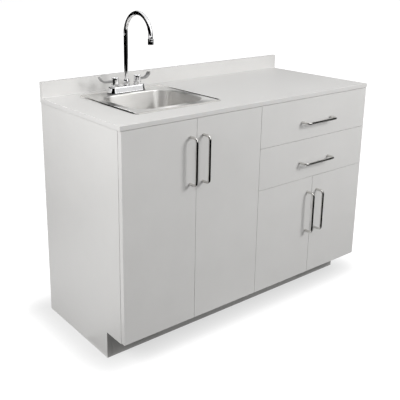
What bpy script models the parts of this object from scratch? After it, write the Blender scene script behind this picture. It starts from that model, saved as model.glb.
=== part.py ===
"""Medical sink cabinet: a laminate base cabinet with a drop-in steel sink, a gooseneck faucet,
four hinged doors and two drawers. Metres, +Z up, front towards -Y, right side towards +X.
The origin is on the floor, under the middle of the whole assembly, pulls included."""

import math

import bmesh
import bpy
from mathutils import Vector

# Gap between pieces that touch
FIT = 0.0003

# Countertop and backsplash
COUNTER_WIDTH = 1.2192
COUNTER_DEPTH = 0.5334
COUNTER_HEIGHT = 0.8636
COUNTER_THICKNESS = 0.0165
COUNTER_OVERHANG = 0.003
SPLASH_HEIGHT = 0.061
SPLASH_THICKNESS = 0.015

# Carcass boards
BOARD = 0.019
BACK_BOARD = 0.012
TOE_HEIGHT = 0.1016
TOE_SETBACK = 0.0885
RAIL_HEIGHT = 0.060

# Doors and drawer fronts
FRONT_THICKNESS = 0.019
SEAM = 0.002
EDGE_REVEAL = 0.0015
TOP_REVEAL = 0.0015
BOTTOM_REVEAL = 0.0038
DRAWER_FRONT_HEIGHT = 0.160

# Concealed hinges
CUP_DIAMETER = 0.035
CUP_DEPTH = 0.0115
CUP_WALL = 0.0012
CUP_EDGE = 0.005
FLANGE_LENGTH = 0.054
FLANGE_WIDTH = 0.040
FLANGE_THICKNESS = 0.0012
FLANGE_CORNER = 0.013
HINGE_FROM_BOARD = 0.060
ARM_DEPTH = 0.011
ARM_HEIGHT = 0.016
ARM_NOSE = 0.008
ARM_CRANK = 0.012
ARM_LENGTH = 0.070
PLATE_LENGTH = 0.050
PLATE_WIDTH = 0.032
PLATE_THICKNESS = 0.003
PLATE_SETBACK = 0.026

# Drawer trays and slides
TRAY_HEIGHT = 0.080
TRAY_SHEET = 0.0015
TRAY_LIFT = 0.014
TRAY_REAR_SPACE = 0.030
RUNNER_THICKNESS = 0.0025
SLIDE_SPACE = 0.0127
SLIDE_HEIGHT = 0.020
SLIDE_SHEET = 0.0015
SLIDE_LIFT = 0.030
SLIDE_INSET = 0.004
RUNNING_GAP = 0.001

# Wire pulls
PULL_CENTRES = 0.165
PULL_WIRE = 0.0095
PULL_PROJECTION = 0.035
PULL_BEND = 0.014
PULL_FROM_SEAM = 0.028
DOOR_PULL_DROP = 0.142
DRAWER_PULL_DROP = 0.0905

# Sink
SINK_WIDTH = 0.381
SINK_LENGTH = 0.381
SINK_SETBACK = 0.0965
SINK_SHIFT = 0.0105
SINK_SHEET = 0.0012
SINK_CORNER = 0.022
RIM_RISE = 0.0040
RIM_BEAD = 0.012
RIM_ROLL = 0.004
DECK_DROP = 0.0012
BOWL_SIDE_MARGIN = 0.038
BOWL_FRONT_MARGIN = 0.0385
LEDGE = 0.0825
BOWL_DEPTH = 0.152
BOWL_CORNER = 0.060
BOWL_LIP = 0.004
BOWL_DRAFT = 0.008
FLOOR_RADIUS = 0.028
FLOOR_FALL = 0.004
CUTOUT_MARGIN = 0.0127
CUTOUT_CORNER = 0.012

# Drain
DRAIN_HOLE = 0.0889
DRAIN_FLANGE = 0.113
DRAIN_RECESS = 0.003
STRAINER_DEPTH = 0.045
STRAINER_WALL = 0.0025
GRID_HOLE = 0.0065
GRID_CIRCLE = 0.022
GRID_COUNT = 6
SPIGOT_DIAMETER = 0.043
SPIGOT_LENGTH = 0.028
LOCKNUT_DIAMETER = 0.106
LOCKNUT_HEIGHT = 0.012
TAIL_DIAMETER = 0.038
TAIL_LENGTH = 0.110
TAIL_WALL = 0.0015
SLEEVE_LENGTH = 0.020

# Faucet body
FAUCET_CENTRES = 0.1016
BASE_LENGTH = 0.165
BASE_WIDTH = 0.050
BASE_HEIGHT = 0.025
BASE_CORNER = 0.023
BASE_ROUND = 0.005
BASE_WALL = 0.003
SHANK_DIAMETER = 0.0205
SHANK_LENGTH = 0.045
SHANK_CLEARANCE = 0.002
BARREL_DIAMETER = 0.025
STEM_DIAMETER = 0.016
WATERWAY = 0.008
NUT_ACROSS = 0.032
NUT_HEIGHT = 0.008
BONNET_DIAMETER = 0.031
BONNET_HEIGHT = 0.008
BONNET_TAPER = 0.003
COLLAR_DIAMETER = 0.026
COLLAR_HEIGHT = 0.022

# Wrist-blade handles
HUB_DIAMETER = 0.029
HUB_HEIGHT = 0.025
HUB_CROWN = 0.004
BLADE_LIFT = 0.010
BLADE_ROOT = 0.005
BLADE_REACH = 0.064
BLADE_RISE = 0.021
BLADE_TURN = math.radians(75)
BLADE_SWEEP = math.radians(10.5)
BLADE_ROOT_WIDTH = 0.013
BLADE_TIP_WIDTH = 0.018
BLADE_ROOT_THICKNESS = 0.008
BLADE_TIP_THICKNESS = 0.004
BLADE_ROUNDING = 0.45

# Gooseneck spout
SPOUT_TUBE = 0.016
SPOUT_RADIUS = 0.080
SPOUT_RISE = 0.196
OUTLET_DROP = 0.006
AERATOR_DIAMETER = 0.021
AERATOR_LENGTH = 0.022
AERATOR_GRIP = 0.008
AERATOR_BORE = 0.013
AERATOR_NUT = 0.008
AERATOR_GROOVE = 0.0012

# Steps of round forms, and how meshes are merged and shaded
LEAST_CORNER = 0.004
MERGE_DISTANCE = 0.000001
SHARP_ANGLE = math.radians(35)
CORNER_STEPS = 5
QUARTER_STEPS = 2
FILLET_STEPS = 3
ROUND_STEPS = 20
WIRE_RESOLUTION = 3
SPOUT_RESOLUTION = 5
PULL_BEND_STEPS = 5
SPOUT_STEPS = 16
BLADE_STEPS = 6
BLADE_CORNER_STEPS = 2
GRID_STEPS = 8

# Places worked out from the sizes
BACK_Y = (COUNTER_DEPTH + PULL_PROJECTION + PULL_WIRE / 2) / 2
FRONT_Y = BACK_Y - COUNTER_DEPTH
FRONT_REAR_Y = FRONT_Y + FRONT_THICKNESS
CARCASS_Y = FRONT_REAR_Y + FLANGE_THICKNESS + 2 * FIT
INNER_BACK_Y = BACK_Y - BACK_BOARD
SIDE_X = COUNTER_WIDTH / 2 - COUNTER_OVERHANG
INNER_X = SIDE_X - BOARD
CARCASS_TOP = COUNTER_HEIGHT - COUNTER_THICKNESS - FIT
FLOOR_BOARD_TOP = TOE_HEIGHT + BOARD
RAIL_BOTTOM = CARCASS_TOP - RAIL_HEIGHT
FRONTS_TOP = COUNTER_HEIGHT - COUNTER_THICKNESS - TOP_REVEAL
FRONTS_BOTTOM = TOE_HEIGHT + BOTTOM_REVEAL
UPPER_DRAWER_Z = FRONTS_TOP - DRAWER_FRONT_HEIGHT
LOWER_DRAWER_Z = UPPER_DRAWER_Z - SEAM - DRAWER_FRONT_HEIGHT
LOWER_DOOR_TOP = LOWER_DRAWER_Z - SEAM
DIVIDER_TOP = LOWER_DRAWER_Z - SEAM / 2 + BOARD / 2
DIVIDER_BOTTOM = DIVIDER_TOP - BOARD
BAY_CENTRE = SIDE_X / 2

SINK_X = -BAY_CENTRE + SINK_SHIFT
SINK_FRONT_Y = FRONT_Y + SINK_SETBACK
SINK_Y = SINK_FRONT_Y + SINK_LENGTH / 2
LIP_Z = COUNTER_HEIGHT + FIT
DECK_Z = LIP_Z + RIM_RISE - DECK_DROP
BOWL_HALF_X = SINK_WIDTH / 2 - BOWL_SIDE_MARGIN
BOWL_HALF_Y = (SINK_LENGTH - BOWL_FRONT_MARGIN - LEDGE) / 2
BOWL_Y = SINK_FRONT_Y + BOWL_FRONT_MARGIN + BOWL_HALF_Y
FLOOR_Z = DECK_Z - BOWL_DEPTH
SEAT_Z = FLOOR_Z - FLOOR_FALL - DRAIN_RECESS
FAUCET_Y = SINK_FRONT_Y + SINK_LENGTH - LEDGE / 2
BASE_Z = DECK_Z + FIT
BASE_TOP = BASE_Z + BASE_HEIGHT
BONNET_Z = BASE_TOP + FIT
HUB_Z = BONNET_Z + BONNET_HEIGHT + FIT
SPOUT_FOOT = BASE_TOP + FIT
ARCH_Z = BASE_TOP + SPOUT_RISE

# Finishes: colour, roughness, metallic
FINISHES = {
    "laminate": ((0.63, 0.62, 0.60), 0.45, 0.0),
    "brushed_steel": ((0.62, 0.61, 0.59), 0.30, 1.0),
    "chrome": ((0.82, 0.82, 0.83), 0.06, 1.0),
    "satin_nickel": ((0.60, 0.59, 0.57), 0.24, 1.0),
    "brass": ((0.70, 0.52, 0.25), 0.35, 1.0),
    "zinc_plate": ((0.66, 0.67, 0.69), 0.35, 1.0),
    "grey_enamel": ((0.52, 0.53, 0.54), 0.50, 0.0),
}


def clear_scene():
    for item in list(bpy.data.objects):
        bpy.data.objects.remove(item, do_unlink=True)


def finish(name):
    """The shared material of one finish."""
    if name in bpy.data.materials:
        return bpy.data.materials[name]
    colour, roughness, metallic = FINISHES[name]
    material = bpy.data.materials.new(name)
    material.use_nodes = True
    shader = material.node_tree.nodes["Principled BSDF"]
    shader.inputs["Base Color"].default_value = (*colour, 1.0)
    shader.inputs["Roughness"].default_value = roughness
    shader.inputs["Metallic"].default_value = metallic
    return material


def place(name, data, material):
    """Put mesh or curve data into the scene as a named object."""
    item = bpy.data.objects.new(name, data)
    bpy.context.scene.collection.objects.link(item)
    if material:
        data.materials.append(finish(material))
    return item


def from_bmesh(name, bm, material, smooth=False):
    """Close a bmesh off as an object, with its faces pointing out."""
    bmesh.ops.remove_doubles(bm, verts=bm.verts, dist=MERGE_DISTANCE)
    bmesh.ops.recalc_face_normals(bm, faces=bm.faces)
    mesh = bpy.data.meshes.new(name)
    bm.to_mesh(mesh)
    bm.free()
    if smooth:
        mesh.shade_smooth()
        mesh.set_sharp_from_angle(angle=SHARP_ANGLE)
    return place(name, mesh, material)


def prism(name, outline, axis, low, high, material):
    """Extrude a flat outline along one axis. The outline gives the two other axes in order."""
    order = {
        "x": lambda a, b, h: (h, a, b),
        "y": lambda a, b, h: (a, h, b),
        "z": lambda a, b, h: (a, b, h),
    }
    bm = bmesh.new()
    face = bm.faces.new([bm.verts.new(order[axis](a, b, low)) for a, b in outline])
    grown = bmesh.ops.extrude_face_region(bm, geom=[face])
    moved = [part for part in grown["geom"] if isinstance(part, bmesh.types.BMVert)]
    bmesh.ops.translate(bm, verts=moved, vec=Vector(order[axis](0.0, 0.0, high - low)))
    return from_bmesh(name, bm, material)


def box(name, low, high, material):
    corners = [(low[0], low[1]), (high[0], low[1]), (high[0], high[1]), (low[0], high[1])]
    return prism(name, corners, "z", low[2], high[2], material)


def skin(name, rings, material, loop=False):
    """Loft through rings of equally many points. The ends are capped, or joined in a loop."""
    bm = bmesh.new()
    rows = [[bm.verts.new(point) for point in ring] for ring in rings]
    pairs = list(zip(rows, rows[1:]))
    if loop:
        pairs.append((rows[-1], rows[0]))
    for near, far in pairs:
        for i in range(len(near)):
            j = (i + 1) % len(near)
            bm.faces.new((near[i], near[j], far[j], far[i]))
    if not loop:
        bm.faces.new(rows[0])
        bm.faces.new(rows[-1])
    return from_bmesh(name, bm, material, smooth=True)


def rounded(x, y, half_x, half_y, radius, z, steps=CORNER_STEPS):
    """Ring in the shape of a rectangle with round corners."""
    ring = []
    for quarter in range(4):
        side_x = (1, -1, -1, 1)[quarter]
        side_y = (1, 1, -1, -1)[quarter]
        for step in range(steps + 1):
            angle = math.pi / 2 * (quarter + step / steps)
            across = side_x * (half_x - radius) + radius * math.cos(angle)
            along = side_y * (half_y - radius) + radius * math.sin(angle)
            ring.append((x + across, y + along, z))
    return ring


def quarter(steps=QUARTER_STEPS):
    """Quarter round as shares (inward, upward), from its foot to its crown."""
    angles = [math.pi / 2 * step / steps for step in range(steps + 1)]
    return [(1 - math.cos(angle), math.sin(angle)) for angle in angles]


def circle(x, y, radius, z):
    """Round ring with as many points as a rounded rectangle."""
    count = 4 * (CORNER_STEPS + 1)
    turns = [2 * math.pi * (i + 0.5) / count for i in range(count)]
    return [(x + radius * math.cos(t), y + radius * math.sin(t), z) for t in turns]


def turned(name, profile, x, y, material, ring=False, steps=ROUND_STEPS):
    """Turn a profile of (radius, height) about an upright axis. A ring's profile closes on itself."""
    bm = bmesh.new()
    points = [bm.verts.new((radius, 0.0, z)) for radius, z in profile]
    edges = [bm.edges.new(pair) for pair in zip(points, points[1:])]
    if ring:
        edges.append(bm.edges.new((points[-1], points[0])))
    axis = {"cent": (0, 0, 0), "axis": (0, 0, 1), "angle": 2 * math.pi}
    bmesh.ops.spin(bm, geom=points + edges, steps=steps, **axis)
    item = from_bmesh(name, bm, material, smooth=True)
    item.location = (x, y, 0.0)
    return item


def wire(name, points, diameter, resolution, material):
    """Round bar along a path, with its ends filled."""
    curve = bpy.data.curves.new(name, "CURVE")
    curve.dimensions = "3D"
    curve.bevel_depth = diameter / 2
    curve.bevel_resolution = resolution
    curve.use_fill_caps = True
    spline = curve.splines.new("POLY")
    spline.points.add(len(points) - 1)
    for knot, point in zip(spline.points, points):
        knot.co = (*point, 1.0)
    return place(name, curve, material)


def combine(target, tool, operation):
    """Add or cut away a hidden tool shape."""
    tool.hide_render = True
    tool.display_type = "WIRE"
    change = target.modifiers.new(operation.lower(), "BOOLEAN")
    change.operation = operation
    change.solver = "EXACT"
    change.object = tool


def hang(pieces, name, pivot):
    """Carry pieces on an empty that stands on their joint's axis."""
    carrier = place(name, None, None)
    carrier.location = pivot
    for piece in pieces:
        piece.parent = carrier
        piece.location = piece.location - Vector(pivot)


# Carcass

def make_carcass():
    side = [
        (CARCASS_Y, TOE_HEIGHT),
        (CARCASS_Y + TOE_SETBACK, TOE_HEIGHT),
        (CARCASS_Y + TOE_SETBACK, 0.0),
        (BACK_Y, 0.0),
        (BACK_Y, CARCASS_TOP),
        (CARCASS_Y, CARCASS_TOP),
    ]
    prism("left_side_panel", side, "x", -SIDE_X, -INNER_X, "laminate")
    prism("right_side_panel", side, "x", INNER_X, SIDE_X, "laminate")
    reach = INNER_X - FIT
    rear = INNER_BACK_Y - FIT
    box("bottom_panel", (-reach, CARCASS_Y, TOE_HEIGHT), (reach, rear, FLOOR_BOARD_TOP), "laminate")
    box("back_panel", (-reach, INNER_BACK_Y, 0.0), (reach, BACK_Y, CARCASS_TOP), "laminate")
    toe_y = CARCASS_Y + TOE_SETBACK
    box("toe_kick", (-reach, toe_y, 0.0), (reach, toe_y + BOARD, TOE_HEIGHT - FIT), "laminate")
    rail_rear = CARCASS_Y + BOARD
    box("front_rail", (-reach, CARCASS_Y, RAIL_BOTTOM), (reach, rail_rear, CARCASS_TOP), "laminate")
    partition = [
        (CARCASS_Y, FLOOR_BOARD_TOP + FIT),
        (rear, FLOOR_BOARD_TOP + FIT),
        (rear, CARCASS_TOP),
        (rail_rear + FIT, CARCASS_TOP),
        (rail_rear + FIT, RAIL_BOTTOM - FIT),
        (CARCASS_Y, RAIL_BOTTOM - FIT),
    ]
    prism("centre_partition", partition, "x", -BOARD / 2, BOARD / 2, "laminate")
    divider_x = BOARD / 2 + FIT
    box("drawer_divider", (divider_x, CARCASS_Y, DIVIDER_BOTTOM), (reach, rear, DIVIDER_TOP), "laminate")


def make_worktop():
    half = COUNTER_WIDTH / 2
    low = (-half, FRONT_Y, COUNTER_HEIGHT - COUNTER_THICKNESS)
    counter = box("countertop", low, (half, BACK_Y, COUNTER_HEIGHT), "laminate")
    hole_x = SINK_WIDTH / 2 - CUTOUT_MARGIN
    hole_y = SINK_LENGTH / 2 - CUTOUT_MARGIN
    levels = (COUNTER_HEIGHT + COUNTER_THICKNESS, COUNTER_HEIGHT - 2 * COUNTER_THICKNESS)
    rings = [rounded(SINK_X, SINK_Y, hole_x, hole_y, CUTOUT_CORNER, z) for z in levels]
    combine(counter, skin("counter_cutter", rings, None), "DIFFERENCE")
    splash_low = (-half, BACK_Y - SPLASH_THICKNESS, COUNTER_HEIGHT + FIT)
    box("backsplash", splash_low, (half, BACK_Y, COUNTER_HEIGHT + SPLASH_HEIGHT), "laminate")


# Sink and drain

def rim_ring(inset, z):
    corner = max(SINK_CORNER - inset, LEAST_CORNER)
    return rounded(SINK_X, SINK_Y, SINK_WIDTH / 2 - inset, SINK_LENGTH / 2 - inset, corner, z)


def bowl_ring(inset, z):
    corner = max(BOWL_CORNER - inset, LEAST_CORNER)
    return rounded(SINK_X, BOWL_Y, BOWL_HALF_X - inset, BOWL_HALF_Y - inset, corner, z)


def drain_ring(radius, z):
    return circle(SINK_X, BOWL_Y, radius, z)


def make_sink():
    recess = DRAIN_FLANGE / 2 + 2 * FIT
    fillet = quarter(FILLET_STEPS)
    upper = [rim_ring(RIM_ROLL * inward, LIP_Z + RIM_RISE * up) for inward, up in quarter()]
    upper.append(rim_ring(RIM_BEAD, DECK_Z))
    for inward, up in quarter():
        upper.append(bowl_ring(-BOWL_LIP * (1 - up), DECK_Z - BOWL_LIP * inward))
    for inward, up in fillet:
        inset = BOWL_DRAFT + FLOOR_RADIUS * inward
        upper.append(bowl_ring(inset, FLOOR_Z + FLOOR_RADIUS * (1 - up)))
    upper.append(drain_ring(recess + DRAIN_RECESS, FLOOR_Z - FLOOR_FALL))
    upper.append(drain_ring(recess, SEAT_Z))
    upper.append(drain_ring(DRAIN_HOLE / 2, SEAT_Z))

    sheet = SINK_SHEET
    outer_radius = FLOOR_RADIUS + sheet
    lower = [
        drain_ring(DRAIN_HOLE / 2, SEAT_Z - sheet),
        drain_ring(recess + sheet, SEAT_Z - sheet),
        drain_ring(recess + DRAIN_RECESS + sheet, FLOOR_Z - FLOOR_FALL - sheet),
    ]
    for inward, up in reversed(fillet):
        inset = BOWL_DRAFT - sheet + outer_radius * inward
        lower.append(bowl_ring(inset, FLOOR_Z - sheet + outer_radius * (1 - up)))
    lower += [
        bowl_ring(-sheet, DECK_Z - BOWL_LIP - sheet),
        bowl_ring(-BOWL_LIP - sheet, DECK_Z - sheet),
        rim_ring(RIM_BEAD, DECK_Z - sheet),
    ]
    for inward, up in reversed(quarter()):
        inset = sheet + (RIM_ROLL - sheet) * inward
        lower.append(rim_ring(inset, LIP_Z + (RIM_RISE - sheet) * up))
    sink = skin("sink", upper + lower, "brushed_steel", loop=True)
    for side, name in ((-1, "hot"), (0, "spout"), (1, "cold")):
        hole_x = SINK_X + side * FAUCET_CENTRES / 2
        radius = SHANK_DIAMETER / 2 + SHANK_CLEARANCE
        low = DECK_Z - RIM_RISE
        hole = [(0.0, low), (radius, low), (radius, BASE_TOP), (0.0, BASE_TOP)]
        cutter = turned(name + "_deck_cutter", hole, hole_x, FAUCET_Y, None)
        combine(sink, cutter, "DIFFERENCE")


def make_drain():
    wall = DRAIN_HOLE / 2 - STRAINER_WALL / 2
    bore = wall - STRAINER_WALL
    flange_z = SEAT_Z + FIT
    flange_top = flange_z + DRAIN_RECESS - FIT
    cup_floor = flange_top - STRAINER_DEPTH
    spigot = SPIGOT_DIAMETER / 2
    spigot_end = cup_floor - STRAINER_WALL - SPIGOT_LENGTH
    body = [
        (0.0, cup_floor),
        (bore, cup_floor),
        (bore, flange_top - STRAINER_WALL),
        (bore + STRAINER_WALL, flange_top),
        (DRAIN_FLANGE / 2 - STRAINER_WALL / 2, flange_top),
        (DRAIN_FLANGE / 2, flange_z),
        (wall, flange_z),
        (wall, cup_floor - STRAINER_WALL),
        (spigot, cup_floor - STRAINER_WALL),
        (spigot, spigot_end),
        (spigot - STRAINER_WALL, spigot_end),
        (spigot - STRAINER_WALL, cup_floor - STRAINER_WALL),
        (0.0, cup_floor - STRAINER_WALL),
    ]
    strainer = turned("strainer_body", body, SINK_X, BOWL_Y, "chrome")
    for i in range(GRID_COUNT):
        angle = 2 * math.pi * i / GRID_COUNT
        hole_x = SINK_X + GRID_CIRCLE / 2 * math.cos(angle)
        hole_y = BOWL_Y + GRID_CIRCLE / 2 * math.sin(angle)
        low = cup_floor - 2 * STRAINER_WALL
        high = cup_floor + STRAINER_WALL
        hole = [(0.0, low), (GRID_HOLE / 2, low), (GRID_HOLE / 2, high), (0.0, high)]
        cutter = turned("grid_cutter_%d" % i, hole, hole_x, hole_y, None, steps=GRID_STEPS)
        combine(strainer, cutter, "DIFFERENCE")

    nut_top = SEAT_Z - SINK_SHEET - FIT
    nut = [
        (wall + FIT, nut_top),
        (LOCKNUT_DIAMETER / 2, nut_top),
        (LOCKNUT_DIAMETER / 2, nut_top - LOCKNUT_HEIGHT),
        (wall + FIT, nut_top - LOCKNUT_HEIGHT),
    ]
    turned("strainer_locknut", nut, SINK_X, BOWL_Y, "zinc_plate", ring=True)

    sleeve_top = cup_floor - STRAINER_WALL - FIT
    sleeve_end = sleeve_top - SLEEVE_LENGTH
    tail_end = sleeve_top - TAIL_LENGTH
    tail = TAIL_DIAMETER / 2
    sleeve = spigot + FIT
    pipe = [
        (sleeve, sleeve_top),
        (sleeve + TAIL_WALL, sleeve_top),
        (sleeve + TAIL_WALL, sleeve_end),
        (tail, spigot_end - TAIL_WALL),
        (tail, tail_end),
        (tail - TAIL_WALL, tail_end),
        (tail - TAIL_WALL, spigot_end - FIT),
        (sleeve, spigot_end - FIT),
    ]
    turned("tailpiece", pipe, SINK_X, BOWL_Y, "chrome", ring=True)


# Faucet

def base_ring(inset, z):
    corner = BASE_CORNER - inset
    return rounded(SINK_X, FAUCET_Y, BASE_LENGTH / 2 - inset, BASE_WIDTH / 2 - inset, corner, z)


def make_faucet_base():
    ceiling = BASE_TOP - BASE_WALL
    rings = [
        base_ring(BASE_WALL + BASE_ROUND / 2, ceiling),
        base_ring(BASE_WALL, ceiling - BASE_ROUND),
        base_ring(BASE_WALL, BASE_Z),
        base_ring(0.0, BASE_Z),
    ]
    for inward, up in quarter():
        rings.append(base_ring(BASE_ROUND * inward, BASE_TOP - BASE_ROUND * (1 - up)))
    base = skin("faucet_base", rings, "chrome")
    for side in (-1, 0, 1):
        hole_x = SINK_X + side * FAUCET_CENTRES / 2
        radius = STEM_DIAMETER / 2 + FIT
        low = ceiling - BASE_ROUND
        high = BASE_TOP + BASE_ROUND
        hole = [(0.0, low), (radius, low), (radius, high), (0.0, high)]
        combine(base, turned("base_cutter_%d" % side, hole, hole_x, FAUCET_Y, None), "DIFFERENCE")


def make_valve_body():
    ceiling = BASE_TOP - BASE_WALL - BASE_ROUND / 2
    middle = (BASE_Z + ceiling) / 2
    low = (SINK_X - FAUCET_CENTRES / 2, FAUCET_Y - WATERWAY / 2, middle - WATERWAY / 2)
    high = (SINK_X + FAUCET_CENTRES / 2, FAUCET_Y + WATERWAY / 2, middle + WATERWAY / 2)
    body = box("valve_body", low, high, "brass")
    stem = STEM_DIAMETER / 2
    barrel = BARREL_DIAMETER / 2
    shank = SHANK_DIAMETER / 2
    for side, name in ((-1, "hot"), (1, "cold")):
        profile = [
            (0.0, DECK_Z - SHANK_LENGTH),
            (shank, DECK_Z - SHANK_LENGTH),
            (shank, BASE_Z + SHANK_CLEARANCE),
            (barrel, BASE_Z + SHANK_CLEARANCE),
            (barrel, ceiling),
            (stem, ceiling),
            (stem, HUB_Z - 2 * FIT),
            (0.0, HUB_Z - 2 * FIT),
        ]
        valve = turned(name + "_barrel", profile, SINK_X + side * FAUCET_CENTRES / 2, FAUCET_Y, None)
        combine(body, valve, "UNION")
    boss = [
        (0.0, BASE_Z + SHANK_CLEARANCE),
        (barrel, BASE_Z + SHANK_CLEARANCE),
        (barrel, ceiling),
        (stem, ceiling),
        (stem, BASE_TOP),
        (0.0, BASE_TOP),
    ]
    combine(body, turned("spout_boss", boss, SINK_X, FAUCET_Y, None), "UNION")


def hex_ring(across, x, y, z):
    """Six-sided ring with as many points as a round one."""
    ring = []
    for px, py, _ in circle(0.0, 0.0, 1.0, 0.0):
        turn = math.atan2(py, px)
        lean = (turn + math.pi / 6) % (math.pi / 3) - math.pi / 6
        reach = across / 2 / math.cos(lean)
        ring.append((x + reach * px, y + reach * py, z))
    return ring


def make_valve_trim(name, side):
    x = SINK_X + side * FAUCET_CENTRES / 2
    nut_top = DECK_Z - SINK_SHEET - FIT
    bore = SHANK_DIAMETER / 2 + FIT
    nut = [
        circle(x, FAUCET_Y, bore, nut_top),
        hex_ring(NUT_ACROSS, x, FAUCET_Y, nut_top),
        hex_ring(NUT_ACROSS, x, FAUCET_Y, nut_top - NUT_HEIGHT),
        circle(x, FAUCET_Y, bore, nut_top - NUT_HEIGHT),
    ]
    skin(name + "_nut", nut, "brass", loop=True)
    stem = STEM_DIAMETER / 2 + FIT
    outer = BONNET_DIAMETER / 2
    top = BONNET_Z + BONNET_HEIGHT
    bonnet = [
        (stem, BONNET_Z),
        (outer, BONNET_Z),
        (outer, top - BONNET_TAPER),
        (outer - BONNET_TAPER, top),
        (stem, top),
    ]
    turned(name + "_bonnet", bonnet, x, FAUCET_Y, "chrome", ring=True)


def blade_rings(heading):
    """Sections of a wrist blade that runs out level and then turns up at its tip."""
    bend = BLADE_RISE / (1 - math.cos(BLADE_TURN))
    run = BLADE_REACH - bend * math.sin(BLADE_TURN)
    root_z = HUB_Z + BLADE_LIFT
    stations = [(BLADE_ROOT, root_z, 0.0)]
    for step in range(BLADE_STEPS + 1):
        angle = BLADE_TURN * step / BLADE_STEPS
        stations.append((run + bend * math.sin(angle), root_z + bend * (1 - math.cos(angle)), angle))
    rings = []
    for out, height, angle in stations:
        share = out / BLADE_REACH
        width = BLADE_ROOT_WIDTH + (BLADE_TIP_WIDTH - BLADE_ROOT_WIDTH) * share
        depth = BLADE_ROOT_THICKNESS + (BLADE_TIP_THICKNESS - BLADE_ROOT_THICKNESS) * share
        corner = depth * BLADE_ROUNDING
        section = rounded(0.0, 0.0, width / 2, depth / 2, corner, 0.0, BLADE_CORNER_STEPS)
        ring = []
        for px, py, _ in section:
            reach = out - py * math.sin(angle)
            x = reach * math.cos(heading) - px * math.sin(heading)
            y = reach * math.sin(heading) + px * math.cos(heading)
            ring.append((x, y, height + py * math.cos(angle)))
        rings.append(ring)
    return rings


def make_handle(name, side):
    x = SINK_X + side * FAUCET_CENTRES / 2
    radius = HUB_DIAMETER / 2
    top = HUB_Z + HUB_HEIGHT
    hub = [(0.0, HUB_Z), (radius, HUB_Z)]
    for inward, up in quarter():
        hub.append((radius - HUB_CROWN * inward, top - HUB_CROWN * (1 - up)))
    hub.append((0.0, top))
    handle = turned(name, hub, x, FAUCET_Y, "chrome")
    heading = BLADE_SWEEP if side > 0 else math.pi - BLADE_SWEEP
    blade = skin(name + "_blade", blade_rings(heading), None)
    blade.location = (x, FAUCET_Y, 0.0)
    combine(handle, blade, "UNION")
    hang([handle, blade], name + "_pivot", (x, FAUCET_Y, HUB_Z))


def make_spout():
    tube = SPOUT_TUBE / 2
    collar = COLLAR_DIAMETER / 2
    collar_top = SPOUT_FOOT + COLLAR_HEIGHT
    shoulder = collar - tube - 2 * FIT
    profile = [(tube + FIT, SPOUT_FOOT), (collar, SPOUT_FOOT)]
    for inward, up in quarter():
        profile.append((collar - shoulder * inward, collar_top - shoulder * (1 - up)))
    profile.append((tube + FIT, collar_top))
    turned("spout_collar", profile, SINK_X, FAUCET_Y, "chrome", ring=True)

    path = [(SINK_X, FAUCET_Y, SPOUT_FOOT)]
    for step in range(SPOUT_STEPS + 1):
        angle = math.pi * step / SPOUT_STEPS
        out = SPOUT_RADIUS * (1 - math.cos(angle))
        path.append((SINK_X, FAUCET_Y - out, ARCH_Z + SPOUT_RADIUS * math.sin(angle)))
    outlet_y = FAUCET_Y - 2 * SPOUT_RADIUS
    path.append((SINK_X, outlet_y, ARCH_Z - OUTLET_DROP - AERATOR_GRIP))
    spout = wire("gooseneck_spout", path, SPOUT_TUBE, SPOUT_RESOLUTION, "chrome")

    top = ARCH_Z - OUTLET_DROP
    outer = AERATOR_DIAMETER / 2
    end = top - AERATOR_LENGTH
    step_z = top - AERATOR_GRIP - FIT
    groove_z = top - AERATOR_NUT
    edge = (outer - tube) / 2
    shell = [
        (tube + FIT, top),
        (outer - edge, top),
        (outer, top - edge),
        (outer, groove_z + AERATOR_GROOVE),
        (outer - AERATOR_GROOVE, groove_z),
        (outer, groove_z - AERATOR_GROOVE),
        (outer, end + edge),
        (outer - edge, end),
        (AERATOR_BORE / 2, end),
        (AERATOR_BORE / 2, step_z),
        (tube + FIT, step_z),
    ]
    aerator = turned("aerator", shell, SINK_X, outlet_y, "chrome", ring=True)
    hang([spout, aerator], "spout_pivot", (SINK_X, FAUCET_Y, SPOUT_FOOT))


# Pulls, hinges, doors and drawers

def make_pull(name, x, z, upright):
    """Bent wire pull on a front, upright on a door and level on a drawer."""
    half = PULL_CENTRES / 2
    outline = [(-half, FIT)]
    for step in range(PULL_BEND_STEPS + 1):
        angle = math.pi / 2 * step / PULL_BEND_STEPS
        along = PULL_BEND * (1 - math.cos(angle)) - half
        outline.append((along, PULL_PROJECTION - PULL_BEND + PULL_BEND * math.sin(angle)))
    outline += [(-along, out) for along, out in reversed(outline)]
    if upright:
        path = [(x, FRONT_Y - out, z + along) for along, out in outline]
    else:
        path = [(x + along, FRONT_Y - out, z) for along, out in outline]
    return wire(name, path, PULL_WIRE, WIRE_RESOLUTION, "satin_nickel")


def upright_rings(rings):
    """Turn rings drawn flat so that they face the front: height becomes depth."""
    return [[(x, depth, z) for x, z, depth in ring] for ring in rings]


def make_cup(name, x, z):
    radius = CUP_DIAMETER / 2
    seat = FRONT_REAR_Y + FIT
    mouth = seat + FLANGE_THICKNESS
    floor = FRONT_REAR_Y - CUP_DEPTH
    half = (FLANGE_WIDTH / 2, FLANGE_LENGTH / 2)
    rings = [
        circle(x, z, radius - CUP_WALL, floor + CUP_WALL),
        circle(x, z, radius - CUP_WALL, mouth),
        rounded(x, z, *half, FLANGE_CORNER, mouth),
        rounded(x, z, *half, FLANGE_CORNER, seat),
        circle(x, z, radius, seat),
        circle(x, z, radius, floor),
    ]
    return skin(name, upright_rings(rings), "zinc_plate")


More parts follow.
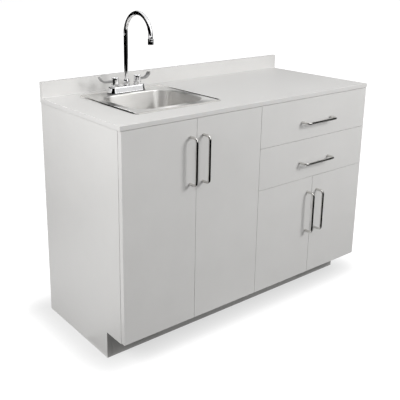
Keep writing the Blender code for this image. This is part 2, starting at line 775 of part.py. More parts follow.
def make_hinge_arm(name, face_x, side, cup_x, z):
    """Arm and mounting plate on a board's face. Side is the way from the board into the bay."""
    cup_reach = (cup_x - face_x) * side
    nose_low = max(cup_reach - ARM_DEPTH / 2, FIT)
    nose_high = nose_low + ARM_DEPTH
    body_low = PLATE_THICKNESS / 2
    body_high = body_low + ARM_DEPTH
    bend = ARM_NOSE + ARM_CRANK
    outline = [
        (nose_low, 0.0),
        (nose_high, 0.0),
        (nose_high, ARM_NOSE),
        (body_high, bend),
        (body_high, ARM_LENGTH),
        (body_low, ARM_LENGTH),
        (body_low, bend),
        (nose_low, ARM_NOSE),
    ]
    plan = [(face_x + side * out, CARCASS_Y + back) for out, back in outline]
    arm = prism(name, plan, "z", z - ARM_HEIGHT / 2, z + ARM_HEIGHT / 2, "zinc_plate")
    ends = sorted((face_x + side * FIT, face_x + side * (FIT + PLATE_THICKNESS)))
    low = (ends[0], CARCASS_Y + PLATE_SETBACK, z - PLATE_LENGTH / 2)
    high = (ends[1], CARCASS_Y + PLATE_SETBACK + PLATE_WIDTH, z + PLATE_LENGTH / 2)
    combine(arm, box(name + "_plate", low, high, None), "UNION")


def make_door(name, hinge_x, free_x, low_z, high_z, face_x, heights):
    """Door hung at hinge_x on the board whose face is at face_x, with hinges at two heights."""
    side = 1 if free_x > hinge_x else -1
    ends = sorted((hinge_x, free_x))
    door = box(name, (ends[0], FRONT_Y, low_z), (ends[1], FRONT_REAR_Y, high_z), "laminate")
    pull_x = free_x - side * (PULL_FROM_SEAM - SEAM / 2)
    pieces = [door, make_pull(name + "_pull", pull_x, high_z - DOOR_PULL_DROP, True)]
    cup_x = hinge_x + side * (CUP_EDGE + CUP_DIAMETER / 2)
    for level, z in heights:
        radius = CUP_DIAMETER / 2 + FIT
        depths = (FRONT_REAR_Y - CUP_DEPTH - FIT, CARCASS_Y)
        bore = upright_rings([circle(cup_x, z, radius, y) for y in depths])
        cutter = skin("%s_%s_bore" % (name, level), bore, None)
        combine(door, cutter, "DIFFERENCE")
        pieces += [cutter, make_cup("%s_cup_%s" % (name, level), cup_x, z)]
        make_hinge_arm("%s_arm_%s" % (name, level), face_x, side, cup_x, z)
    hang(pieces, name + "_pivot", (hinge_x, FRONT_Y, low_z))


def make_doors():
    above_floor = FLOOR_BOARD_TOP + HINGE_FROM_BOARD
    tall = (("upper", RAIL_BOTTOM - HINGE_FROM_BOARD), ("lower", above_floor))
    short = (("upper", DIVIDER_BOTTOM - HINGE_FROM_BOARD), ("lower", above_floor))
    outer = SIDE_X - EDGE_REVEAL
    gap = SEAM / 2
    low = FRONTS_BOTTOM
    face = BOARD / 2
    make_door("sink_door_left", -outer, -BAY_CENTRE - gap, low, FRONTS_TOP, -INNER_X, tall)
    make_door("sink_door_right", -gap, -BAY_CENTRE + gap, low, FRONTS_TOP, -face, tall)
    make_door("lower_door_left", gap, BAY_CENTRE - gap, low, LOWER_DOOR_TOP, face, short)
    make_door("lower_door_right", outer, BAY_CENTRE + gap, low, LOWER_DOOR_TOP, INNER_X, short)


def make_slide(name, face_x, side, z):
    """C-shaped slide on a board's face, open towards the tray."""
    depth = SLIDE_SPACE - RUNNING_GAP
    sheet = SLIDE_SHEET
    outline = [
        (FIT, 0.0),
        (depth, 0.0),
        (depth, sheet),
        (FIT + sheet, sheet),
        (FIT + sheet, SLIDE_HEIGHT - sheet),
        (depth, SLIDE_HEIGHT - sheet),
        (depth, SLIDE_HEIGHT),
        (FIT, SLIDE_HEIGHT),
    ]
    section = [(face_x + side * out, z + up) for out, up in outline]
    prism(name, section, "y", CARCASS_Y + SLIDE_INSET, INNER_BACK_Y - SLIDE_INSET, "zinc_plate")


def make_drawer(name, front_z):
    left = SEAM / 2
    right = SIDE_X - EDGE_REVEAL
    top = front_z + DRAWER_FRONT_HEIGHT
    front = box(name + "_front", (left, FRONT_Y, front_z), (right, FRONT_REAR_Y, top), "laminate")
    pull = make_pull(name + "_pull", BAY_CENTRE, top - DRAWER_PULL_DROP, False)

    faces = ((BOARD / 2, 1, "left"), (INNER_X, -1, "right"))
    walls = [face_x + side * SLIDE_SPACE for face_x, side, _ in faces]
    tray_z = front_z + TRAY_LIFT
    tray_front = FRONT_REAR_Y + FIT
    tray_rear = INNER_BACK_Y - TRAY_REAR_SPACE
    sheet = TRAY_SHEET
    low = (walls[0], tray_front, tray_z)
    high = (walls[1], tray_rear, tray_z + TRAY_HEIGHT)
    tray = box(name + "_tray", low, high, "grey_enamel")
    hollow_low = (walls[0] + sheet, tray_front + sheet, tray_z + sheet)
    hollow_high = (walls[1] - sheet, tray_rear - sheet, tray_z + 2 * TRAY_HEIGHT)
    hollow = box(name + "_hollow", hollow_low, hollow_high, None)
    combine(tray, hollow, "DIFFERENCE")
    pieces = [front, pull, tray, hollow]
    slide_z = tray_z + SLIDE_LIFT
    runner_z = slide_z + SLIDE_SHEET + FIT
    for face_x, side, hand in faces:
        make_slide("%s_slide_%s" % (name, hand), face_x, side, slide_z)
        near = face_x + side * (2 * FIT + SLIDE_SHEET)
        far = face_x + side * (SLIDE_SPACE + sheet / 2)
        ends = sorted((near, far))
        runner_low = (ends[0], CARCASS_Y + SLIDE_INSET, runner_z)
        runner_high = (ends[1], tray_rear - sheet / 2, runner_z + RUNNER_THICKNESS)
        runner = box("%s_runner_%s" % (name, hand), runner_low, runner_high, None)
        combine(tray, runner, "UNION")
        pieces.append(runner)
    hang(pieces, name + "_carrier", (BAY_CENTRE, FRONT_Y, front_z))


def main():
    clear_scene()
    make_carcass()
    make_worktop()
    make_sink()
    make_drain()
    make_faucet_base()
    make_valve_body()
    make_spout()
    for name, side in (("hot", -1), ("cold", 1)):
        make_valve_trim(name, side)
        make_handle(name + "_handle", side)
    make_doors()
    make_drawer("upper_drawer", UPPER_DRAWER_Z)
    make_drawer("lower_drawer", LOWER_DRAWER_Z)


main()
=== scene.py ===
"""Looks of the medical sink cabinet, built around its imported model.
Metres, +Z up, front towards -Y, right side towards +X."""

import math

import bmesh
import bpy
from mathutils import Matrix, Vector


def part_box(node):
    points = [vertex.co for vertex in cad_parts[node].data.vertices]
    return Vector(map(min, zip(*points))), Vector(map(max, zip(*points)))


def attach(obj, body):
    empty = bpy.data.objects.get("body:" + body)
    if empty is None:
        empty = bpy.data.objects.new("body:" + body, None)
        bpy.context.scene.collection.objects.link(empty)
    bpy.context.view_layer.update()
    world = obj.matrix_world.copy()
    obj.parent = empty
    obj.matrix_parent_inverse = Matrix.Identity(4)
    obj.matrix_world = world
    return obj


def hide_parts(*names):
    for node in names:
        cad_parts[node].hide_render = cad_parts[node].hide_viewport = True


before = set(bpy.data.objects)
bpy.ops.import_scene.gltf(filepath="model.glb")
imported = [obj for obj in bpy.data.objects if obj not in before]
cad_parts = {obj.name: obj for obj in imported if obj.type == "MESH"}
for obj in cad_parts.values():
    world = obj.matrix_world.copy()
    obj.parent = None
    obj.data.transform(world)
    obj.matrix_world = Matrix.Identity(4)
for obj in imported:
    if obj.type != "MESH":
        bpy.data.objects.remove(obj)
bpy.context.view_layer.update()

# Camera, as read from the photograph's corners, in its 400 x 400 frame
IMAGE_SIZE = 400
SENSOR = 36.0
FOCAL_PIXELS = 638.5
CENTRE_PIXEL = (160.0, 142.0)
CAMERA_YAW = math.radians(36.72)
CAMERA_PITCH = math.radians(-15.55)
CAMERA_FROM_CORNER = Vector((-1.0235, -1.5759, 1.3369))

# Fineness of round shapes
SMOOTH_ANGLE = math.radians(34)
SHARP_ANGLE = math.radians(40)
ROD_SIDES = 40
LATHE_STEPS = 48
SMALL_LATHE_STEPS = 20
LATHE_ROUNDING = 4
CORNER_STEPS = 14
TUBE_SIDES = 32
BEND_STEPS = 14
ARCH_STEPS = 56

# Reaches for finding points, edges and faces by their place or normal
POINT_REACH = 0.00001
DOUBLES_REACH = 0.000005
HAIR = 0.0001
LEVEL_REACH = 0.0002
ALONG_AXIS = 0.9

X, Y, Z = range(3)
LYING = (math.pi / 2, 0.0, 0.0)
DOORS = ("sink_door_left", "sink_door_right", "lower_door_left", "lower_door_right")
DRAWERS = ("upper_drawer", "lower_drawer")
LEVELS = ("upper", "lower")
FIT = 0.0003


# Tools for modelling by hand

def choose(*items):
    """Select these objects alone, or none. The last one is the active one."""
    if bpy.context.mode != "OBJECT":
        bpy.ops.object.mode_set(mode="OBJECT")
    bpy.ops.object.select_all(action="DESELECT")
    for item in items:
        item.select_set(True)
        bpy.context.view_layer.objects.active = item


def edit(item):
    choose(item)
    bpy.ops.object.mode_set(mode="EDIT")


def leave():
    bpy.ops.object.mode_set(mode="OBJECT")


def named(name):
    """Name the active object and put its place into its mesh."""
    item = bpy.context.object
    item.name = name
    item.data.name = name
    bpy.ops.object.transform_apply(location=True, rotation=True, scale=True)
    return item


def block(name, low, high):
    """Cube between two corners."""
    choose()
    low, high = Vector(low), Vector(high)
    bpy.ops.mesh.primitive_cube_add(size=1, location=(low + high) / 2, scale=high - low)
    return named(name)


def rod(name, place, radius, length, sides=ROD_SIDES, turn=(0.0, 0.0, 0.0)):
    """Cylinder about a place, upright unless turned."""
    choose()
    bpy.ops.mesh.primitive_cylinder_add(
        vertices=sides, radius=radius, depth=length, location=place, rotation=turn)
    return named(name)


def select_all():
    bpy.ops.mesh.select_all(action="SELECT")


def begin(name):
    """Empty mesh, in edit mode."""
    choose()
    bpy.ops.mesh.primitive_plane_add(size=1)
    item = named(name)
    edit(item)
    select_all()
    bpy.ops.mesh.delete(type="VERT")
    return item


def pick(kind, test):
    """In edit mode, select the points, edges or faces that pass a test."""
    bpy.ops.mesh.select_mode(type=kind)
    bpy.ops.mesh.select_all(action="DESELECT")
    mesh = bmesh.from_edit_mesh(bpy.context.object.data)
    parts = {"VERT": mesh.verts, "EDGE": mesh.edges, "FACE": mesh.faces}[kind]
    for part in parts:
        if test(part):
            part.select_set(True)
    mesh.select_flush_mode()
    bmesh.update_edit_mesh(bpy.context.object.data)


def middle(part):
    """Middle of an edge or a face."""
    return sum((point.co for point in part.verts), Vector()) / len(part.verts)


def looks(face, axis, sign):
    """Whether a face looks along an axis, up it or down it."""
    return face.normal[axis] * sign > ALONG_AXIS


def span(edge, axis):
    """How far an edge runs along an axis."""
    return abs((edge.verts[0].co - edge.verts[1].co)[axis])


def near(point, place):
    return (Vector(point) - Vector(place)).length < POINT_REACH


def at_height(edge, *heights):
    return any(abs(middle(edge).z - height) < LEVEL_REACH for height in heights)


def bridge(cuts, *heights):
    """Join two open loops, at one height or two, with faces."""
    pick("EDGE", lambda edge: edge.is_boundary and at_height(edge, *heights))
    bpy.ops.mesh.bridge_edge_loops(number_cuts=cuts, interpolation="LINEAR")


def plate(low, high, z, corner, steps=CORNER_STEPS):
    """In edit mode, add a flat face with round corners and leave it selected."""
    centre = ((low[0] + high[0]) / 2, (low[1] + high[1]) / 2, z)
    size = (high[0] - low[0], high[1] - low[1], 1.0)
    bpy.ops.mesh.primitive_plane_add(size=1, location=centre)
    bpy.ops.transform.resize(value=size, center_override=centre)
    bpy.ops.mesh.bevel(offset=corner, affect="VERTICES", segments=steps)
    bpy.ops.mesh.select_mode(type="FACE")


def extrude(*step):
    bpy.ops.mesh.extrude_region_move(TRANSFORM_OT_translate={"value": step})


def inset(inward, up):
    """Offset the selected face inward, and up along its normal."""
    bpy.ops.mesh.inset(thickness=inward, depth=up, use_even_offset=True)


def shrink(share, centre):
    """Shrink the selection towards an upright line."""
    bpy.ops.transform.resize(value=(share, share, 1.0), center_override=centre)


def bend(centre, axis, angle, steps=BEND_STEPS):
    bpy.ops.mesh.spin(steps=steps, angle=angle, center=centre, axis=axis)


def roll(steps, inward, up, from_crown=False):
    """Inset the selected face along a quarter round, from its foot to its crown or the other way."""
    angles = [math.pi / 2 * step / steps for step in range(steps + 1)]
    points = [(1 - math.cos(angle), math.sin(angle)) for angle in angles]
    moves = [(far[0] - last[0], far[1] - last[1]) for last, far in zip(points, points[1:])]
    for level, rise in reversed(moves) if from_crown else moves:
        inset(inward * level, up * rise)


def tidy_mesh():
    """Merge doubles and point the faces outwards, in edit mode."""
    bpy.ops.mesh.select_mode(type="VERT")
    select_all()
    bpy.ops.mesh.remove_doubles(threshold=DOUBLES_REACH)
    bpy.ops.mesh.delete_loose()
    select_all()
    bpy.ops.mesh.normals_make_consistent(inside=False)


def finish_edit():
    tidy_mesh()
    leave()


def close_below():
    """Fill the open foot of the piece being edited and leave it."""
    pick("EDGE", lambda edge: edge.is_boundary)
    bpy.ops.mesh.edge_face_add()
    finish_edit()


def turn_towards(item, axis, sign):
    """Leave an open sheet with its largest face along an axis looking up it or down it."""
    tidy_mesh()
    mesh = bmesh.from_edit_mesh(item.data)
    largest = max(mesh.faces, key=lambda face: abs(face.normal[axis]) * face.calc_area())
    if largest.normal[axis] * sign < 0:
        bpy.ops.mesh.flip_normals()
    leave()


def apply(item, kind, **settings):
    """Add a modifier and apply it."""
    choose(item)
    change = item.modifiers.new(kind.lower(), kind)
    for key, value in settings.items():
        setattr(change, key, value)
    bpy.ops.object.modifier_apply(modifier=change.name)


def soften(item, width, segments=2):
    """Round the sharp edges over."""
    apply(item, "BEVEL", width=width, segments=segments, limit_method="ANGLE", angle_limit=SHARP_ANGLE)


def thicken(item, sheet):
    apply(item, "SOLIDIFY", thickness=sheet, offset=-1.0)


def cut(item, tool, operation="DIFFERENCE"):
    """Cut a tool shape out of a piece, or weld it on, and take the tool away."""
    apply(item, "BOOLEAN", operation=operation, solver="EXACT", object=tool)
    bpy.data.objects.remove(tool, do_unlink=True)


def smooth(item):
    """Shade round faces smoothly, and keep the large flat ones flat."""
    choose(item)
    bpy.ops.object.shade_smooth_by_angle(angle=SMOOTH_ANGLE)
    apply(item, "WEIGHTED_NORMAL", keep_sharp=True)


def joined(name, items):
    choose(*items)
    bpy.ops.object.join()
    return named(name)


def dress(item, body, slot, *finishes, stands_for=None):
    """Give a piece its finishes and its body, and hide the node it stands for."""
    for finish in finishes:
        item.data.materials.append(finish)
    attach(item, body)
    if stands_for:
        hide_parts(stands_for)


def lathe(name, centre, profile, ring=False, steps=LATHE_STEPS):
    """Turn a profile about the upright line through centre. It has the radius and the height of each
    corner, and its rounding if it's round."""
    choose()
    bpy.ops.mesh.primitive_plane_add(size=0.01)
    item = named(name)
    edit(item)
    select_all()
    bpy.ops.mesh.merge(type="CENTER")
    places = [Vector((centre[0] + corner[0], centre[1], corner[1])) for corner in profile]
    bpy.ops.transform.translate(value=places[0])
    for last, place in zip(places, places[1:]):
        extrude(*(place - last))
    if ring:
        ends = (places[0], places[-1])
        pick("VERT", lambda point: any(near(point.co, end) for end in ends))
        bpy.ops.mesh.edge_face_add()
    for place, corner in zip(places, profile):
        if len(corner) > 2:
            pick("VERT", lambda point: near(point.co, place))
            bpy.ops.mesh.bevel(offset=corner[2], affect="VERTICES", segments=LATHE_ROUNDING)
    bpy.ops.mesh.select_mode(type="VERT")
    select_all()
    bend((centre[0], centre[1], 0.0), (0.0, 0.0, 1.0), 2 * math.pi, steps)
    finish_edit()
    smooth(item)
    return item


def bar(name, start, radius, turn=(0.0, 0.0, 0.0)):
    """Round face that a bar grows from, level unless turned. Leaves it in edit mode."""
    choose()
    bpy.ops.mesh.primitive_circle_add(
        vertices=TUBE_SIDES, radius=radius, fill_type="NGON", location=start, rotation=turn)
    item = named(name)
    edit(item)
    bpy.ops.mesh.select_mode(type="FACE")
    select_all()
    return item


def centre_of(node_name):
    low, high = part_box(node_name)
    return (low + high) / 2


def round_size(node_name):
    """Centre, radius, foot and head of an upright round node."""
    low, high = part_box(node_name)
    return (low + high) / 2, (high.x - low.x) / 2, low.z, high.z


# Finishes

MIX_FACTOR, MIX_FIRST, MIX_SECOND, MIX_RESULT = 0, 6, 7, 2      # colour sockets of a Mix node
RELIEF = {"mottle": 0.0002, "brushed": 0.0001}
ACROSS_LINES = 0.25


def feed(socket, value):
    """Link another socket to a socket, or set a fixed value on it. A socket's id_data is its tree."""
    if isinstance(value, bpy.types.NodeSocket):
        socket.id_data.links.new(value, socket)
    else:
        socket.default_value = value


def node(tree, kind, **values):
    """Add a shader node, with values fed to its inputs by name or set on itself."""
    made = tree.nodes.new(kind)
    for key, value in values.items():
        if key in made.inputs:
            feed(made.inputs[key], value)
        else:
            setattr(made, key, value)
    return made


def new_group(name, **sizes):
    """Shader node group of a surface: a place, two colours and some sizes in."""
    tree = bpy.data.node_groups.new(name, "ShaderNodeTree")
    sockets = [("Vector", "Vector"), ("Light", "Color"), ("Dark", "Color")]
    for label, kind in sockets + [(size, "Float") for size in sizes]:
        socket = tree.interface.new_socket(label, in_out="INPUT", socket_type="NodeSocket" + kind)
        if label in sizes:
            socket.default_value = sizes[label]
    return tree, tree.nodes.new("NodeGroupInput").outputs


def close_group(tree, first, second, share, height=None):
    """Give a group its outputs: a colour between two, its share as gloss, and the relief."""
    values = [("Color", "Color", mixed(share, first, second)), ("Gloss", "Float", share)]
    if height:
        values.append(("Height", "Float", height))
    for label, kind, _ in values:
        tree.interface.new_socket(label, in_out="OUTPUT", socket_type="NodeSocket" + kind)
    out = tree.nodes.new("NodeGroupOutput").inputs
    for label, _, value in values:
        feed(out[label], value)
    return tree


def noise(vector, scale, detail, roughness, distortion=0.0):
    return node(vector.id_data, "ShaderNodeTexNoise", Vector=vector, Scale=scale, Detail=detail,
                Roughness=roughness, Distortion=distortion).outputs["Fac"]


def lines(vector, scale):
    """Noise drawn out into lines by a scale along each axis."""
    stretched = node(vector.id_data, "ShaderNodeMapping", Vector=vector, Scale=scale)
    return noise(stretched.outputs["Vector"], 1.0, 3.0, 0.6)


def spread(value, low, high, floor=0.0, top=1.0, curve="LINEAR"):
    """Map a value from low..high to floor..top, and hold it there."""
    limits = {"From Min": low, "From Max": high, "To Min": floor, "To Max": top}
    return node(value.id_data, "ShaderNodeMapRange", clamp=True, interpolation_type=curve,
                Value=value, **limits).outputs["Result"]


def mixed(factor, first, second):
    """Mix two colours."""
    made = node(factor.id_data, "ShaderNodeMix", data_type="RGBA")
    for place, value in ((MIX_FACTOR, factor), (MIX_FIRST, first), (MIX_SECOND, second)):
        feed(made.inputs[place], value)
    return made.outputs[MIX_RESULT]


def sums(operation, first, second=0.0):
    """Work a value out from two, of which one at least is a socket."""
    owner = first if isinstance(first, bpy.types.NodeSocket) else second
    made = node(owner.id_data, "ShaderNodeMath", operation=operation)
    feed(made.inputs[0], first)
    feed(made.inputs[1], second)
    return made.outputs["Value"]


def weighted(first, weight, second, other_weight):
    """Sum of two values, each times its weight."""
    return sums("ADD", sums("MULTIPLY", first, weight), sums("MULTIPLY", second, other_weight))


def make_mottle_group():
    """Cloudy and speckled variation of a sheet surface, with a fine grain to feel."""
    tree, given = new_group("mottle", Grain=900.0, Cloud=9.0)
    clouds = spread(noise(given["Vector"], given["Cloud"], 4.0, 0.6), 0.3, 0.7)
    grains = spread(noise(given["Vector"], given["Grain"], 2.0, 0.7), 0.35, 0.65)
    share = weighted(clouds, 0.6, grains, 0.4)
    return close_group(tree, given["Dark"], given["Light"], share, grains)


def make_brushed_group():
    """Fine lines of a brushed metal. They run level on walls and along X on flat faces."""
    tree, given = new_group("brushed")
    wall = lines(given["Vector"], (5.0, 5.0, 900.0))
    flat = lines(given["Vector"], (6.0, 900.0, 40.0))
    normal = node(tree, "ShaderNodeNewGeometry").outputs["Normal"]
    upward = node(tree, "ShaderNodeSeparateXYZ", Vector=normal).outputs["Z"]
    level = spread(sums("ABSOLUTE", upward), 0.5, 0.85)
    brushing = weighted(flat, level, wall, sums("SUBTRACT", 1.0, level))
    sharp = spread(brushing, 0.35, 0.65)
    patches = spread(noise(given["Vector"], 14.0, 4.0, 0.55), 0.35, 0.7)
    share = weighted(sharp, 0.65, patches, 0.35)
    return close_group(tree, given["Dark"], given["Light"], share, sharp)


def make_smudge_group():
    """Wiped marks and dried spots on a bright metal, as a gloss value and a faint tint."""
    tree, given = new_group("smudge", Scale=30.0)
    wipe = noise(given["Vector"], given["Scale"], 5.0, 0.62, 1.2)
    spots = node(tree, "ShaderNodeTexVoronoi", Vector=given["Vector"], Scale=160.0)
    dots = spread(spots.outputs["Distance"], 0.10, 0.16, 1.0, 0.0)
    marks = sums("MAXIMUM", spread(wipe, 0.5, 0.75), sums("MULTIPLY", dots, 0.3))
    return close_group(tree, given["Light"], given["Dark"], marks)


MOTTLE = make_mottle_group()
BRUSHED = make_brushed_group()
SMUDGE = make_smudge_group()


def new_finish(name, **settings):
    """Material with fixed settings on its shader."""
    finish = bpy.data.materials.new(name)
    finish.use_nodes = True
    shader = finish.node_tree.nodes["Principled BSDF"]
    for key, value in settings.items():
        shader.inputs[key.replace("_", " ")].default_value = value
    return finish, finish.node_tree, shader.inputs


def make_finish(name, group, light, dark, gloss, metallic=1.0, bump=0.0, drawn_out=0.0, **sizes):
    """Finish from a group's colour and sheen, and its relief where it's given a bump."""
    finish, tree, shader = new_finish(
        name, Metallic=metallic, Anisotropic=drawn_out, Anisotropic_Rotation=ACROSS_LINES)
    place = tree.nodes.new("ShaderNodeTexCoord").outputs["Object"]
    made = node(tree, "ShaderNodeGroup", node_tree=group, Vector=place,
                Light=(*light, 1.0), Dark=(*dark, 1.0), **sizes).outputs
    feed(shader["Base Color"], made["Color"])
    feed(shader["Roughness"], spread(made["Gloss"], 0.0, 1.0, *gloss))
    if bump:
        relief = node(tree, "ShaderNodeBump", Strength=bump, Distance=RELIEF[group.name],
                      Height=made["Height"])
        feed(shader["Normal"], relief.outputs["Normal"])
    return finish


# Light and dark colour and the range of roughness, then the share of metal, the bump and how far
# the sheen is drawn out
LAMINATE = make_finish(
    "grey_laminate", MOTTLE, (0.638, 0.632, 0.621), (0.608, 0.602, 0.591), (0.40, 0.50), 0.0, 0.10)
EDGE_BAND = make_finish(
    "grey_edge_band", MOTTLE, (0.630, 0.624, 0.613), (0.604, 0.598, 0.587), (0.34, 0.42), 0.0, 0.05)
# Laminate darkened as painted shade, for the toe board and the sides' faces in the toe space
SHADED_TOE_BOARD = make_finish(
    "toe_board_painted_shade", MOTTLE, (0.325, 0.321, 0.313), (0.295, 0.291, 0.284), (0.42, 0.52), 0.0, 0.10)
STEEL = make_finish(
    "satin_steel", BRUSHED, (0.92, 0.91, 0.89), (0.84, 0.83, 0.81), (0.30, 0.38), 0.92, 0.05, 1.0)
# Rougher steel for the rim's front, its colour darkened as painted shade against the lamps' highlight
SATIN_SHADED_FRONT_RIM_STEEL = make_finish(
    "satin_front_rim_steel_painted_shade", BRUSHED, (0.74, 0.73, 0.71), (0.66, 0.65, 0.63), (0.66, 0.76), 1.0, 0.05)
RIM_STEEL = make_finish(
    "polished_rim_steel", BRUSHED, (0.86, 0.85, 0.83), (0.78, 0.77, 0.75), (0.10, 0.16), 1.0, 0.02)
CHROME = make_finish(
    "bright_chrome", SMUDGE, (0.88, 0.88, 0.89), (0.80, 0.80, 0.81), (0.03, 0.12), Scale=36.0)
# Rougher chrome for the blades, its colour darkened as painted shade for the grey they show
SATIN_SHADED_CHROME = make_finish(
    "satin_chrome_painted_shade", SMUDGE, (0.36, 0.36, 0.36), (0.31, 0.31, 0.31), (0.40, 0.50), 0.6, Scale=36.0)
NICKEL = make_finish(
    "satin_nickel_wire", BRUSHED, (0.74, 0.73, 0.71), (0.62, 0.61, 0.59), (0.10, 0.18), 1.0, 0.03)
BRASS = make_finish(
    "plain_brass", SMUDGE, (0.72, 0.53, 0.25), (0.50, 0.34, 0.15), (0.24, 0.44), Scale=60.0)
ZINC = make_finish(
    "zinc_plated_steel", SMUDGE, (0.68, 0.69, 0.71), (0.52, 0.53, 0.55), (0.26, 0.44), Scale=90.0)
ENAMEL = make_finish(
    "grey_powder_coat", MOTTLE, (0.54, 0.55, 0.56), (0.50, 0.51, 0.52), (0.42, 0.55), 0.0, 0.25,
    Grain=1400.0)
SEALER = make_finish(
    "pale_sealant", MOTTLE, (0.60, 0.594, 0.583), (0.55, 0.544, 0.533), (0.34, 0.44), 0.0, 0.05)
BLACK_PLASTIC = make_finish(
    "black_plastic", MOTTLE, (0.030, 0.030, 0.031), (0.018, 0.018, 0.019), (0.32, 0.48), 0.0, 0.10,
    Grain=1500.0)
GREY_RUBBER = make_finish(
    "grey_rubber", MOTTLE, (0.46, 0.46, 0.45), (0.38, 0.38, 0.37), (0.5, 0.65), 0.0, 0.10)


# Boards

ARRIS = 0.0006
FRONT_BAND = 0.0004
SIDE_BAND = 0.0012
COUNTER_ARRIS = 0.0012
CUTOUT_MARGIN = 0.0127
CUTOUT_CORNER = 0.012
SEALANT = 0.0025
SEALANT_HOLLOW = 0.9 * SEALANT


def band_edges(item, thickness_axis):
    """Give a board's narrow sides the edge band, the second finish."""
    for face in item.data.polygons:
        face.material_index = 0 if abs(face.normal[thickness_axis]) > ALONG_AXIS else 1


def finish_board(item, node_name, body, face_finish=LAMINATE, edge_finish=EDGE_BAND):
    low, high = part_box(node_name)
    sizes = list(high - low)
    soften(item, ARRIS)
    band_edges(item, sizes.index(min(sizes)))
    smooth(item)
    dress(item, body, "laminate", face_finish, edge_finish, stands_for=node_name)


def front_box(name):
    """Corners of a door or drawer front, with its edge bands on."""
    low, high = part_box(name)
    band = Vector((FRONT_BAND, 0.0, FRONT_BAND))
    return low - band, high + band


def make_plain_boards():
    for name in ("bottom_panel", "back_panel", "front_rail", "drawer_divider", "backsplash"):
        finish_board(block(name + "_board", *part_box(name)), name, "cabinet")
    # The toe board takes the laminate darkened as painted shade
    toe = block("toe_kick_board", *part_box("toe_kick"))
    finish_board(toe, "toe_kick", "cabinet", SHADED_TOE_BOARD, SHADED_TOE_BOARD)
    for drawer in DRAWERS:
        name = drawer + "_front"
        finish_board(block(name + "_board", *front_box(name)), name, drawer)


def make_side(name):
    """Side panel: the part above the toe space, with its foot drawn down behind the notch."""
    low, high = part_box(name)
    toe_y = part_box("toe_kick")[0].y
    toe_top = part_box("bottom_panel")[0].z
    item = block(name + "_board", (low.x, low.y, toe_top), high)
    edit(item)
    select_all()
    bpy.ops.mesh.bisect(plane_co=(0.0, toe_y, 0.0), plane_no=(0.0, 1.0, 0.0))
    pick("FACE", lambda face: looks(face, Z, -1) and middle(face).y > toe_y)
    extrude(0.0, 0.0, -toe_top)
    pick("FACE", lambda face: looks(face, Y, -1) and middle(face).z > toe_top)
    extrude(0.0, -SIDE_BAND, 0.0)
    finish_edit()
    finish_board(item, name, "cabinet")
    # The side's front faces in the toe space take the laminate darkened as painted shade
    item.data.materials.append(SHADED_TOE_BOARD)
    for face in item.data.polygons:
        if looks(face, Y, -1) and face.center.z < toe_top:
            face.material_index = 2


def make_partition():
    """Centre partition, notched at its upper front corner for the rail."""
    low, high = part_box("centre_partition")
    rail_low, rail_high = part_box("front_rail")
    item = block("centre_partition_board", (low.x, rail_high.y, low.z), high)
    edit(item)
    select_all()
    bpy.ops.mesh.bisect(plane_co=(0.0, 0.0, rail_low.z), plane_no=(0.0, 0.0, 1.0))
    pick("FACE", lambda face: looks(face, Y, -1) and middle(face).z < rail_low.z)
    extrude(0.0, low.y - rail_high.y, 0.0)
    finish_edit()
    finish_board(item, "centre_partition", "cabinet")


def make_countertop():
    """Counter slab with a cutout under the sink's rim."""
    low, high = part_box("countertop")
    sink_low, sink_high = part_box("sink")
    margin = Vector((CUTOUT_MARGIN, CUTOUT_MARGIN))
    item = block("countertop_slab", low, high)
    soften(item, COUNTER_ARRIS, segments=3)
    tool = begin("cutout_tool")
    plate(sink_low.xy + margin, sink_high.xy - margin, low.z - CUTOUT_MARGIN, CUTOUT_CORNER, steps=6)
    extrude(0.0, 0.0, high.z - low.z + 2 * CUTOUT_MARGIN)
    finish_edit()
    cut(item, tool)
    band_edges(item, Z)
    smooth(item)
    dress(item, "cabinet", "laminate", LAMINATE, EDGE_BAND, stands_for="countertop")


def make_sealant():
    """Fillet of sealant in the corner between the counter and the backsplash."""
    low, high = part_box("backsplash")
    item = block("splash_sealant", (low.x, low.y - SEALANT, low.z), (high.x, low.y, low.z + SEALANT))
    edit(item)
    pick("EDGE", lambda edge: middle(edge).y < low.y - SEALANT / 2 and middle(edge).z > low.z + SEALANT / 2)
    bpy.ops.mesh.bevel(offset=SEALANT_HOLLOW, segments=6, profile=0.3)
    leave()
    smooth(item)
    dress(item, "cabinet", "laminate", SEALER)


# Sink and drain

SINK_LIFT = 0.0003
SINK_SHEET = 0.0012
SINK_CORNER = 0.022
RIM_ROLL = 0.004
RIM_BEAD = 0.012
RIM_RISE = 0.004
RIM_STEPS = 6
DECK_DROP = 0.0012
DECK_SLOPE = (0.10, 0.40, 0.40, 0.10)
BOWL_SIDE = 0.038
BOWL_FRONT = 0.0385
LEDGE = 0.0825
BOWL_CORNER = 0.060
BOWL_LIP = 0.004
LIP_STEPS = 5
BOWL_DRAFT = 0.008
WALL_STEPS = 4
FLOOR_RADIUS = 0.028
FLOOR_STEPS = 8
FLOOR_FALL = 0.004
DECK_CUTS = 2
FLOOR_CUTS = 6
DRAIN_RECESS = 0.003
DRAIN_GAP = 0.0006
DRAIN_SEAT = 0.012
STRAINER_WALL = 0.0025
STRAINER_FLANGE = 0.0158
STRAINER_EDGE = 0.001
STRAINER_DEPTH = 0.045
SPIGOT_RADIUS = 0.0215
GRID_HOLES = 6
GRID_RADIUS = 0.011
GRID_HOLE = 0.0032
LOCKNUT_BORE = 0.0435
LOCKNUT_NECK = 0.004
LOCKNUT_STEP = 0.003
LOCKNUT_CHAMFER = 0.0005
TAIL_RADIUS = 0.019
TAIL_SHEET = 0.0015
SLEEVE_LENGTH = 0.020
SLEEVE_TAPER = 0.010
SLEEVE_INNER_TAPER = 0.004
TAIL_BEAD = ((0.0, 0.012), (0.0008, 0.010, 0.0004), (0.0008, 0.006, 0.0004), (0.0, 0.004))


